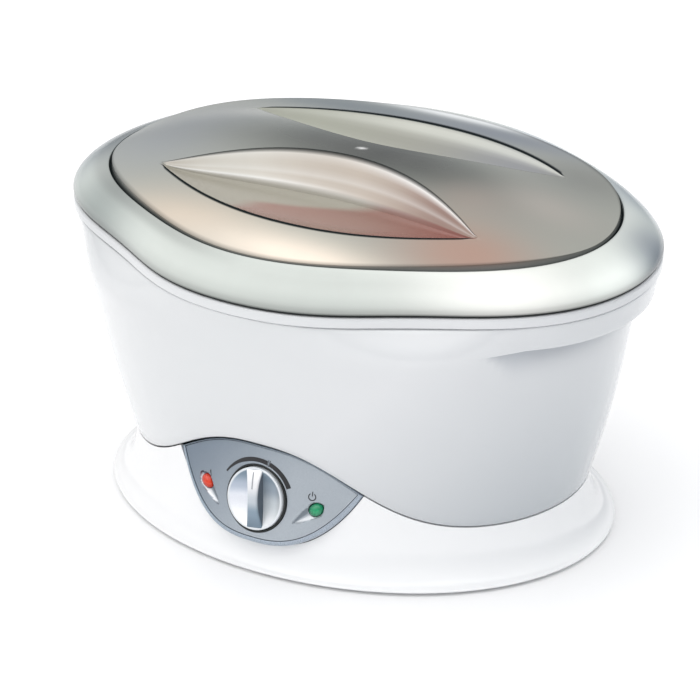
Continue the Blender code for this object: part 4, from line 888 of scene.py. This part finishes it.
def build_lid():
    edit = bmesh.new()
    shade_line_layer = edit.verts.layers.float.new("line")
    tint_and_light_layer = edit.verts.layers.float_color.new("tint")

    def add(point, line=0.0, zone="band", height=0.0):
        vertex = edit.verts.new(point)
        vertex[shade_line_layer] = line
        vertex[tint_and_light_layer] = lid_tint_and_light(point.x, point.y, zone, height)
        return vertex

    def add_grid(lower):
        drop = LID_WALL if lower else 0.0
        made = []
        for i in range(1, COLUMNS):
            x = -LID_STEP.a * cos(pi * i / COLUMNS)
            front, rear = (lid_half_column(x, is_rear, lower) for is_rear in (False, True))
            middle = (Vector((x, 0, lid_height(x, 0) - drop)), 0.0, "top")
            made.append([add(*row) for row in [*front, middle, *reversed(rear)]])
        first, last = (add(Vector((x, 0, lid_height(x, 0) - drop)), 0.5, "top")
                       for x in (-LID_STEP.a, LID_STEP.a))
        join_all(edit, [[first], *made, [last]], closed=False)
        return [first, *(column[0] for column in made), last, *(column[-1] for column in reversed(made))]

    upper_edge, lower_edge = add_grid(False), add_grid(True)
    angles = [atan2(vertex.co.y, vertex.co.x) for vertex in upper_edge]

    def step_ring(outline, by, rise):
        return ring(grown(outline, by), lambda x, y: step_z(x) + rise, angles)

    def band_ring(degrees, wall=0.0):
        turn, foot = radians(degrees), LID_FOOT_Z + 0.0020
        outline = between(grown(LID_STEP, LID_GROOVE - wall * 0.4), grown(RIM, -wall), cos(turn) ** 1.25)
        return ring(outline, lambda x, y: foot + (step_z(x) - wall - foot) * sin(turn) ** 1.25, angles)

    # rows of (points, strength of the painted shade line, height up the band), from the step down and back inside
    rows = [(step_ring(LID_STEP, by, rise), line, 1.0)
            for by, rise, line in ((0.0002, -0.0004, 0.8), (0.0006, -0.0012, 1.0),
                                   (LID_GROOVE * 0.70, -0.0012, 1.0), (LID_GROOVE, 0.0002, 0.25))]
    rows += [(band_ring(degrees), 0.0, sin(radians(degrees))) for degrees in (86, *range(82, 2, -5), 3)]
    # painted shade lines at the lid's foot, where it meets the seal
    foot = ((0, 0.0018, 0.0), (0, 0.0008, 0.5), (-0.0005, 0, 1.0), (-LID_WALL, 0, 1.0))
    rows += [(ring(grown(RIM, by), LID_FOOT_Z + rise, angles), line, 0.0) for by, rise, line in foot]
    inside = [band_ring(degrees, LID_WALL) for degrees in (14, 30, 48)]
    inside += [step_ring(MOUTH, -0.0015, -LID_WALL - 0.0006),
               *rings(MOUTH, (-0.0015, LID_RIB_Z), (-0.0037, LID_RIB_Z), angles=angles),
               step_ring(MOUTH, -0.0037, -LID_WALL - 0.0010)]
    rows += [(points, 0.0, 0.4) for points in inside]
    made = [[add(point, line * groove_shade_strength(point.x, point.y > 0) if height == 1.0 else line, "band", height)
             for point in points] for points, line, height in rows]
    join_all(edit, [upper_edge, *made, lower_edge])
    place_mesh("lid_shell", edit, "lid", ["lid"], "smoke_polycarbonate")


# ---------------------------------------------------------------- tub and wax


def tub_outline(z, inset=0.0):
    share = (z - TUB_FLOOR_Z) / (TUB_RIM_Z - TUB_FLOOR_Z)
    return grown(between(grown(TUB_FLOOR, 0.004), grown(MOUTH, 0.0020), max(share, 0.0) ** 0.8), inset)


def build_tub():
    angles, flange, thin = turns_of(160), grown(RIM, -0.0100), 0.0013
    corner = ((-0.012, 0.0), (-0.007, 0.0012), (-0.003, 0.0030), (0.001, 0.0070), (0.0035, 0.0120))
    rows = [[Vector((0, 0, TUB_FLOOR_Z))]]
    rows += rings(TUB_FLOOR, *((grow, TUB_FLOOR_Z + rise) for grow, rise in corner), angles=angles)
    rows += [ring(tub_outline(z), z, angles) for z in (0.076 + 0.0096 * k for k in range(2, 11))]
    rows += [ring(grown(MOUTH, 0.0040), TUB_RIM_Z, angles), ring(flange, TUB_RIM_Z, angles)]
    under_z = TUB_RIM_Z - TUB_WALL
    rows += [ring(flange, under_z, angles), ring(grown(MOUTH, 0.0050), under_z, angles)]
    rows += [ring(tub_outline(z, TUB_WALL), z, angles) for z in (0.1712, 0.140, 0.100)]
    rows += rings(TUB_FLOOR, *((grow + 0.0012, TUB_FLOOR_Z + rise - thin) for grow, rise in corner[::-1]),
                  angles=angles)
    rows += [[Vector((0, 0, TUB_FLOOR_Z - thin))]]
    place_mesh("tub_pan", skin(rows), "root", ["tub"], "aluminium")


def build_wax():
    """The surface of the melted wax, a thin lens of wax that clings a little to the tub's wall."""
    angles, thick = turns_of(120), 0.0020
    edge = tub_outline(WAX_Z, -0.0006)
    rows = [[Vector((0, 0, WAX_Z))]]
    rows += rings(edge, *(((share - 1) * edge.b, WAX_Z) for share in (0.25, 0.5, 0.75, 0.92)),
                  (-0.0020, WAX_Z + 0.0002), (0, WAX_Z + 0.0012), angles=angles)
    low = WAX_Z - thick
    rows += [ring(tub_outline(low, -0.0006), low, angles), [Vector((0, 0, low))]]
    place_mesh("wax_surface", skin(rows), "root", finish=WAX)


# ---------------------------------------------------------------- control panel


def panel_point(u, v, out):
    """A point by its place along the curved panel, up it, and out of it."""
    fall = u * u / (2 * PANEL_CURVE_RADIUS)
    return PANEL_CENTRE + Vector((u, 0, 0)) + AXIS_UP * v + AXIS_OUT * (out - fall)


def panel_top(u):
    sag = sin(PANEL_TILT) * u * u / (2 * PANEL_CURVE_RADIUS)
    return (SEAM_Z + seam_rise(u) - PANEL_GAP - PANEL_CENTRE.z + sag) / cos(PANEL_TILT)


def panel_bottom(u):
    return panel_top(PANEL_HALF_LENGTH) - PANEL_DROP * (1 - (abs(u) / PANEL_HALF_LENGTH) ** PANEL_POWER)


def panel_edges(u, grow):
    """The upper and lower edges at one place, moved outward by grow; inward, the upper one moves less."""
    top_grow = grow
    if grow < -FASCIA_INSET:
        top_grow = grow + FASCIA_INSET - FASCIA_TOP_INSET
    elif grow < 0:
        top_grow = grow * FASCIA_TOP_INSET / FASCIA_INSET
    step = 0.0005
    top_slope, bottom_slope = ((edge(u + step) - edge(u - step)) / (2 * step)
                               for edge in (panel_top, panel_bottom))
    return (panel_top(u) + top_grow * hypot(1, top_slope),
            panel_bottom(u) - grow * hypot(1, bottom_slope))


def panel_tip(grow):
    def is_inside(u):
        top, bottom = panel_edges(u, grow)
        return top > bottom
    return bisect(is_inside, 0.3 * PANEL_HALF_LENGTH, 1.3 * PANEL_HALF_LENGTH)


def panel_row(grow, out, lift=0.0, steps=72):
    """The half-lens outline, anticlockwise from its right tip; lift raises the upper edge's middle."""
    tip = panel_tip(grow)
    places = [tip * cos(pi * i / steps) for i in range(steps)]
    return ([panel_point(u, panel_edges(u, grow)[0] + lift * (1 - (abs(u) / tip) ** 6), out) for u in places]
            + [panel_point(-u, panel_edges(-u, grow)[1], out) for u in places])


def build_bezel():
    inner = -FASCIA_INSET
    rows = [panel_row(grow, out) for grow, out in (
        (0.0, -PANEL_DEPTH), (0.0, -0.0022), (-0.0002, -0.0012), (-0.0007, -0.0005), (-0.0014, -0.0001),
        (-0.0021, 0.0), (inner + 0.0002, -0.0003), (inner, -0.0009), (inner, -PANEL_DEPTH))]
    place_mesh("bezel_frame", skin(rows, loop=True), "root", ["control_bezel"], "silver_plastic",
               BEZEL_SILVER)


def dimple_place(u, v, lamp):
    """A place's share of the way along a lamp's dimple, and its distance across it."""
    (head_u, head_v), (tail_u, tail_v) = lamp.head, lamp.tail
    length = hypot(tail_u - head_u, tail_v - head_v)
    ax, ay = (tail_u - head_u) / length, (tail_v - head_v) / length
    return ((u - head_u) * ax + (v - head_v) * ay) / length, (v - head_v) * ax - (u - head_u) * ay


def dimple_half(along):
    """Half the width of the teardrop, which swells from its head and narrows to its tail."""
    if not 0 < along < 1:
        return 0.0
    narrowing = 1 - max(along - DIMPLE_WIDEST, 0.0) / (1 - DIMPLE_WIDEST)
    return DIMPLE_HALF * min(along / DIMPLE_WIDEST, 1.0) ** 0.5 * narrowing ** 0.62


def dimple_depth(u, v, lamp):
    along, across = dimple_place(u, v, lamp)
    half = dimple_half(along)
    return DIMPLE_DEPTH * max(1 - (across / half) ** 2, 0.0) ** 0.7 if half > 1e-5 else 0.0


def dimple_glint(u, v, lamp):
    """The light (above 0) and shade (below 0) inside a dimple, a little narrower than the dimple."""
    along, across = dimple_place(u, v, lamp)
    half = 0.88 * dimple_half(along) + 1e-6
    if abs(across) > half or not 0 < along < 1:
        return 0.0
    fade = smoothstep(0.0, 0.10, along) * smoothstep(1.0, 0.85, along)
    return (0.75 if across * lamp.lit_side > 0 else -0.70) * fade * smoothstep(0.0, 0.35, abs(across) / half)


def fascia_out(u, v):
    return FASCIA_FRONT - max(dimple_depth(u, v, lamp) for lamp in LAMPS)


def build_fascia():
    inner = -FASCIA_INSET - 0.0003
    tip = panel_tip(inner)
    columns, rows = 190, 84
    edit = bmesh.new()
    glint_layer = edit.verts.layers.float.new("glint")
    grid = []
    for i in range(1, columns):
        u = -tip * cos(pi * i / columns)
        top, bottom = panel_edges(u, inner)
        column = []
        for k in range(rows + 1):
            v = bottom + (top - bottom) * k / rows
            column.append(edit.verts.new(panel_point(u, v, fascia_out(u, v))))
            column[-1][glint_layer] = sum(dimple_glint(u, v, lamp) for lamp in LAMPS)
        grid.append(column)
    first, last = (edit.verts.new(panel_point(u, panel_edges(u, inner)[0], FASCIA_FRONT))
                   for u in (-tip, tip))
    join_all(edit, [[first], *grid, [last]], closed=False)
    edge = [first, *(column[0] for column in grid), last, *(column[-1] for column in reversed(grid))]
    back = [edit.verts.new(vertex.co + AXIS_OUT * (FASCIA_BACK - FASCIA_FRONT)) for vertex in edge]
    join_all(edit, [edge, back, [edit.verts.new(panel_point(0, PANEL_MIDDLE_V, FASCIA_BACK))]])
    fascia = place_mesh("fascia_plate", edit, "root", ["control_fascia"], "silver_plastic")
    well = skin(turned_rows(PANEL_CENTRE, AXIS_OUT, [(0, -0.0090), (DIAL_WELL_RADIUS, -0.0090),
                                                     (DIAL_WELL_RADIUS, 0.0060), (0, 0.0060)], 96))
    hole = [(0, -0.0100), (1, -0.0100), (1, 0.0080), (0, 0.0080)]
    cut(fascia, well, *(lens_mesh(lamp, 0.0003, hole) for lamp in LAMPS))


def lens_mesh(lamp, grow, profile, sides=48):
    """An oval turned shape at a lamp, its long axis along the dimple."""
    seat = panel_point(*lamp.place, FASCIA_FRONT)
    along = (Vector((1, 0, 0)) * (lamp.tail[0] - lamp.head[0])
             + AXIS_UP * (lamp.tail[1] - lamp.head[1])).normalized()
    across = AXIS_OUT.cross(along)
    return skin([[seat + AXIS_OUT * out] if share == 0 else
                 [seat + AXIS_OUT * out + along * cos(t) * (LENS_LONG * share + grow)
                  + across * sin(t) * (LENS_SHORT * share + grow) for t in turns_of(sides)]
                 for share, out in profile])


def build_lamps():
    dome = [(sin(radians(t)), -0.0016 + 0.0036 * cos(radians(t))) for t in range(12, 91, 6)]
    profile = [(0, 0.0020), *dome, (1, -0.0060), (0, -0.0060)]
    for lamp in LAMPS:
        lens = f"{lamp.name}_lens"
        place_mesh(f"{lamp.name}_jewel", lens_mesh(lamp, 0.0, profile), "root", [lens], lens)


def ribbon(name, points, half_width, low=0.00003, high=0.00012):
    """A printed line: a thin strip lying on the fascia; half_width is a function of its length share."""
    rows = []
    for i, (u, v) in enumerate(points):
        before, after = points[max(i - 1, 0)], points[min(i + 1, len(points) - 1)]
        du, dv = after[0] - before[0], after[1] - before[1]
        w = half_width(i / (len(points) - 1)) / hypot(du, dv)
        rows.append([panel_point(a, b, fascia_out(a, b) + out)
                     for side, out in ((1, low), (1, high), (-1, high), (-1, low))
                     for a, b in [(u - side * dv * w, v + side * du * w)]])
    place_mesh(name, skin(rows, capped=True), "root", finish=FINISHES["black_print"])


def build_print():
    """The dial's scale, the power mark and the heat mark, all plain generic shapes."""
    def arc(first, last, steps, radius, centre=(0, 0)):
        turns = [(k / steps, radians(first + (last - first) * k / steps)) for k in range(steps + 1)]
        return [(centre[0] - sin(a) * radius(t), centre[1] + cos(a) * radius(t)) for t, a in turns]

    ribbon("scale_arc_low", arc(65, -11.6, 60, lambda t: 0.0229 + 0.0025 * (1 - t) ** 2),
           lambda t: 0.0005 + 0.0008 * min(t / 0.5, 1.0))
    ribbon("scale_arc_high", arc(-16.0, -62.5, 40, lambda t: 0.0229), lambda t: 0.0013 + 0.0002 * t)
    for name, degrees in (("scale_tick_left", -12.6), ("scale_tick_right", -15.0)):
        tick = radians(degrees)
        ribbon(name, [(-sin(tick) * r, cos(tick) * r) for r in (0.0211, 0.0251)], lambda t: 0.0002)
    power_u, power_v = 0.0349, 0.0088
    ribbon("power_ring", arc(-28, -325, 33, lambda t: 0.0021, (power_u, power_v)), lambda t: 0.00028)
    ribbon("power_bar", [(power_u, power_v + 0.0004), (power_u, power_v + 0.0032)], lambda t: 0.00026)
    ribbon("heat_mark", [(-0.0357, 0.0078), (-0.0349, 0.0040)], lambda t: 0.00042)


def bar_crest(along):
    return KNOB_RIM - 0.0003 + BAR_ARCH * (1 - (along / BAR_HALF_LENGTH) ** 2)


def knob_point(across, along, out):
    return PANEL_CENTRE + BAR_SIDE * across + BAR_UP * along + AXIS_OUT * out


def shade_knob(piece, shade):
    """Stores painted light and shade by place on the knob as a grey: its troughs brighten downward and its bar
    darkens.
    """
    layer = piece.data.attributes.new("shade", "FLOAT_COLOR", "POINT")
    for vertex, value in zip(piece.data.vertices, layer.data):
        offset = vertex.co - PANEL_CENTRE
        value.color = (*shade(*(offset.dot(way) for way in (BAR_SIDE, BAR_UP, AXIS_OUT))), 1.0)


def blend_stops(stops, value):
    """A colour between given (value, sRGB) stops, as linear light."""
    for (low, first), (high, second) in zip(stops, stops[1:]):
        if value <= high:
            t = smoothstep(low, high, value)
            return Vector([(a + (b - a) * t) ** 2.2 for a, b in zip(first, second)])
    return Vector([c ** 2.2 for c in stops[-1][1]])


# painted light and shade along the knob from its lower end up: the troughs lit below and shaded above, the bar's
# crest shaded below and lit above
LEFT_TROUGH = ((-0.015, (1.0, 1.0, 1.0)), (0.000, (0.94, 0.95, 0.98)), (0.007, (0.70, 0.74, 0.80)),
               (0.015, (0.46, 0.53, 0.59)))
RIGHT_TROUGH = ((-0.014, (0.97, 0.98, 0.99)), (-0.002, (0.86, 0.89, 0.91)), (0.006, (0.66, 0.71, 0.76)),
                (0.014, (0.50, 0.57, 0.63)))
BAR_TONES = ((-0.017, (0.42, 0.49, 0.55)), (-0.008, (0.50, 0.57, 0.63)), (-0.001, (0.74, 0.77, 0.80)),
             (0.008, (0.92, 0.92, 0.93)), (0.016, (1.0, 1.0, 1.0)))


def dish_shade(across, along, _out):
    """The dish's painted light and shade: an even rim, and a trough on each side of the bar."""
    if hypot(across, along) > KNOB_DISH_RADIUS - 0.0004:
        return (0.74, 0.77, 0.80)
    if across < 0:
        return blend_stops(LEFT_TROUGH, along)
    return (blend_stops(RIGHT_TROUGH, along) * (0.88 if across > 0 else 1.0)
            * (1 - 0.30 * smoothstep(0.012, 0.0175, across)))


def bar_shade(across, along, out):
    """The bar's painted light and shade: its crest by its tones, and its walls darker, most of all the right one.
    """
    wall = smoothstep(0.0004, 0.0012, bar_crest(along) + 0.0003 - out)
    dark = Vector((0.045, 0.065, 0.090))
    return blend_stops(BAR_TONES, along).lerp(dark, wall * (0.92 if across > 0 else 0.5))


def build_knob():
    """A dished knob with a waisted, arched grip bar across it, and the bar's pointer line."""
    r = KNOB_RADIUS
    dish = [(KNOB_DISH_RADIUS * k / 24, KNOB_RIM - KNOB_DISH_DEPTH * (1 - (k / 24) ** 2)) for k in range(25)]
    profile = [(0, KNOB_BACK), (r - 0.0004, KNOB_BACK), (r, KNOB_BACK + 0.0004), (r, KNOB_RIM - 0.0006),
               (r - 0.0002, KNOB_RIM - 0.0002), (r - 0.0006, KNOB_RIM), *reversed(dish)]
    knob = turned("knob_dish", PANEL_CENTRE, AXIS_OUT, profile, 160, "dial", ["knob"], "silver_plastic",
                  KNOB_SILVER, radians(30))
    shade_knob(knob, dish_shade)

    stations, count = [], 40
    for k in range(count + 1):
        along = BAR_HALF_LENGTH * (2 * k / count - 1)
        half = BAR_WAIST + BAR_FLARE * (along / BAR_HALF_LENGTH) ** 2
        crest = bar_crest(along) + 0.0003
        section = [(half + 0.0008, KNOB_BACK + 0.0010), (half + 0.0003, crest - 0.0012),
                   (half, crest - 0.0005), (half - 0.0004, crest - 0.0001), (half - 0.0010, crest),
                   (0.0, crest + 0.0001)]
        section += [(-across, out) for across, out in reversed(section[:-1])]
        stations.append([knob_point(across, along, out) for across, out in section])
    bar = place_mesh("knob_bar", skin(stations, capped=True), "dial", ["knob"], "silver_plastic",
                     KNOB_SILVER, radians(50))
    shade_knob(bar, bar_shade)

    line = ((-0.0004, -0.0002), (-0.0004, 0.0001), (0.0004, 0.0001), (0.0004, -0.0002))
    stations = [[knob_point(across, along, bar_crest(along) + 0.0004 + out) for across, out in line]
                for along in (0.0060 + 0.0098 * k / 12 for k in range(13))]
    place_mesh("pointer_line", skin(stations, capped=True), "dial", ["knob_pointer"], "pointer_ink")


def build_well():
    """The black dial plate, whose collar is the dark ring round the knob; its black also serves as painted shade
    for the gap round the knob.
    """
    soft, bore, back, plate = 0.0003, 0.0048, -0.0074, -0.0058
    profile = [(bore, back), (COLLAR_OUTER, back), (COLLAR_OUTER, COLLAR_TOP - soft),
               (COLLAR_OUTER - soft, COLLAR_TOP), (COLLAR_INNER + soft, COLLAR_TOP),
               (COLLAR_INNER, COLLAR_TOP - soft), (COLLAR_INNER, plate), (bore, plate)]
    turned("dial_collar", PANEL_CENTRE, AXIS_OUT, profile, 128, "root", ["dial_plate"], "dark_rubber")


# ---------------------------------------------------------------- mains lead


def build_lead():
    per_turn, bore = 44, CABLE_RADIUS + 0.0004
    x, z, ground = LEAD_EXIT_X, LEAD_EXIT_Z, CABLE_RADIUS + 0.0002
    turned("lead_bush", Vector((x, LEAD_WALL_Y, z)), Vector((0, 1, 0)),
           [(bore, -0.0080), (0.0047, -0.0080), (0.0047, 0.0085), (0.0064, 0.0087), (0.0068, 0.0092),
            (0.0068, 0.0110), (0.0064, 0.0115), (0.0057, 0.0130), (0.0053, 0.0133), (0.0053, 0.0142),
            (0.0056, 0.0145), (0.0051, 0.0168), (0.0047, 0.0171), (0.0047, 0.0180), (0.0049, 0.0183),
            (0.0044, 0.0200), (bore, 0.0200)],
           48, "root", ["strain_relief"], "lead_rubber")
    path = [Vector(point) for point in (
        (x + 0.003, 0.0740, z - 0.001), (x, 0.0840, z), (x, LEAD_WALL_Y - 0.008, z),
        (x, LEAD_BUSH_END_Y, z), (x - 0.005, 0.1300, 0.0140), (-0.084, 0.1365, 0.0060),
        (-0.106, 0.1310, ground))]
    lead = smooth_path(path, 10)[:-1]
    for i in range(int(COIL_TURNS * per_turn) + 1):
        share = i / per_turn
        t = -2 * pi * share
        lead.append(Vector((COIL_CENTRE.x + COIL_RADIUS * cos(t), COIL_CENTRE.y + COIL_RADIUS * sin(t),
                            ground + COIL_PITCH * share)))
    tail = [Vector(point) for point in (
        lead[-1], (-0.120, 0.1405, 0.0200), (-0.070, 0.1405, 0.0170), (-0.020, PLUG_Y, PLUG_Z),
        (PLUG_BACK_X - 0.0004, PLUG_Y, PLUG_Z))]
    lead += smooth_path(tail, 12)[1:]
    place_mesh("lead_cable", tube_mesh(lead, CABLE_RADIUS, 20), "root", ["power_lead"], "lead_rubber")


# ---------------------------------------------------------------- CAD nodes shown as they are, and the stage


def finish_nodes():
    """Gives every CAD node that is shown as it is the finish of its material slot."""
    slots = {part["node"]: part["material_slot"] for part in frame["record"]["subparts"]}
    for name, node in frame["nodes"].items():
        if slots[name] in FINISHES and name not in replaced_nodes:
            node.data.materials.clear()
            node.data.materials.append(FINISHES[slots[name]])


def aimed(name, data, target, azimuth, elevation, distance):
    """A light or camera that looks at a target from an azimuth, an elevation and a distance."""
    azimuth, elevation = radians(azimuth), radians(elevation)
    back = Vector((sin(azimuth) * cos(elevation), -cos(azimuth) * cos(elevation), sin(elevation)))
    made = linked(name, data)
    made.location = target + back * distance
    made.rotation_euler = back.to_track_quat("Z", "Y").to_euler()
    return made


def build_stage():
    scene = bpy.context.scene
    mesh = bpy.data.meshes.new("studio_floor")
    mesh.from_pydata([(-6, -6, 0), (6, -6, 0), (6, 6, 0), (-6, 6, 0)], [], [(0, 1, 2, 3)])
    finish = Finish("pale_floor")
    shade = finish.mix(finish.spread(finish.noise(3.0), 0.0, 1.0), (0.93, 0.93, 0.935), (0.91, 0.91, 0.915))
    mesh.materials.append(finish.done(finish.principled(Base_Color=shade, Roughness=0.6)))
    linked("studio_floor", mesh)

    middle = (Vector(cad_bounds[0]) + Vector(cad_bounds[1])) / 2
    for name, azimuth, elevation, distance, size, power, colour in (
            ("key_softbox", -20, 48, 2.4, (2.0, 1.6), 7, (1.0, 0.99, 0.98)),
            ("overhead_softbox", 10, 84, 1.8, (2.2, 1.8), 10, (1.0, 1.0, 1.0))):
        light = bpy.data.lights.new(name, "AREA")
        light.shape = "RECTANGLE"
        light.size, light.size_y = size
        light.energy, light.color = power, colour
        aimed(name, light, middle, azimuth, elevation, distance)

    # a bright ceiling over cooler, darker walls, darkest to the right and behind
    sky = Finish("studio", bpy.data.worlds)
    height = sky.node("VectorMath", {0: sky.places["Generated"], 1: (-0.26, -0.10, 1.0)},
                      operation="DOT_PRODUCT").outputs["Value"]
    colour = sky.ramp(height, ((0.0, (0.30, 0.32, 0.35)), (0.52, (1.0, 1.0, 1.0))))
    scene.world = sky.done(sky.node("Background", {"Color": colour, "Strength": 1.17}), "OutputWorld")

    camera = bpy.data.cameras.new("camera")
    camera.lens, camera.sensor_width = 177.25, 36.0
    scene.camera = aimed("camera", camera, Vector((-0.00812, 0, 0.09148)), 31.43, 25.33, 2.0908)
    scene.view_settings.view_transform = "Standard"


for build in (build_housing, build_rim_ring, build_lid_seal, build_base, build_lid, build_tub, build_wax,
              build_bezel, build_fascia, build_lamps, build_print, build_well, build_knob, build_lead,
              finish_nodes, build_stage):
    build()
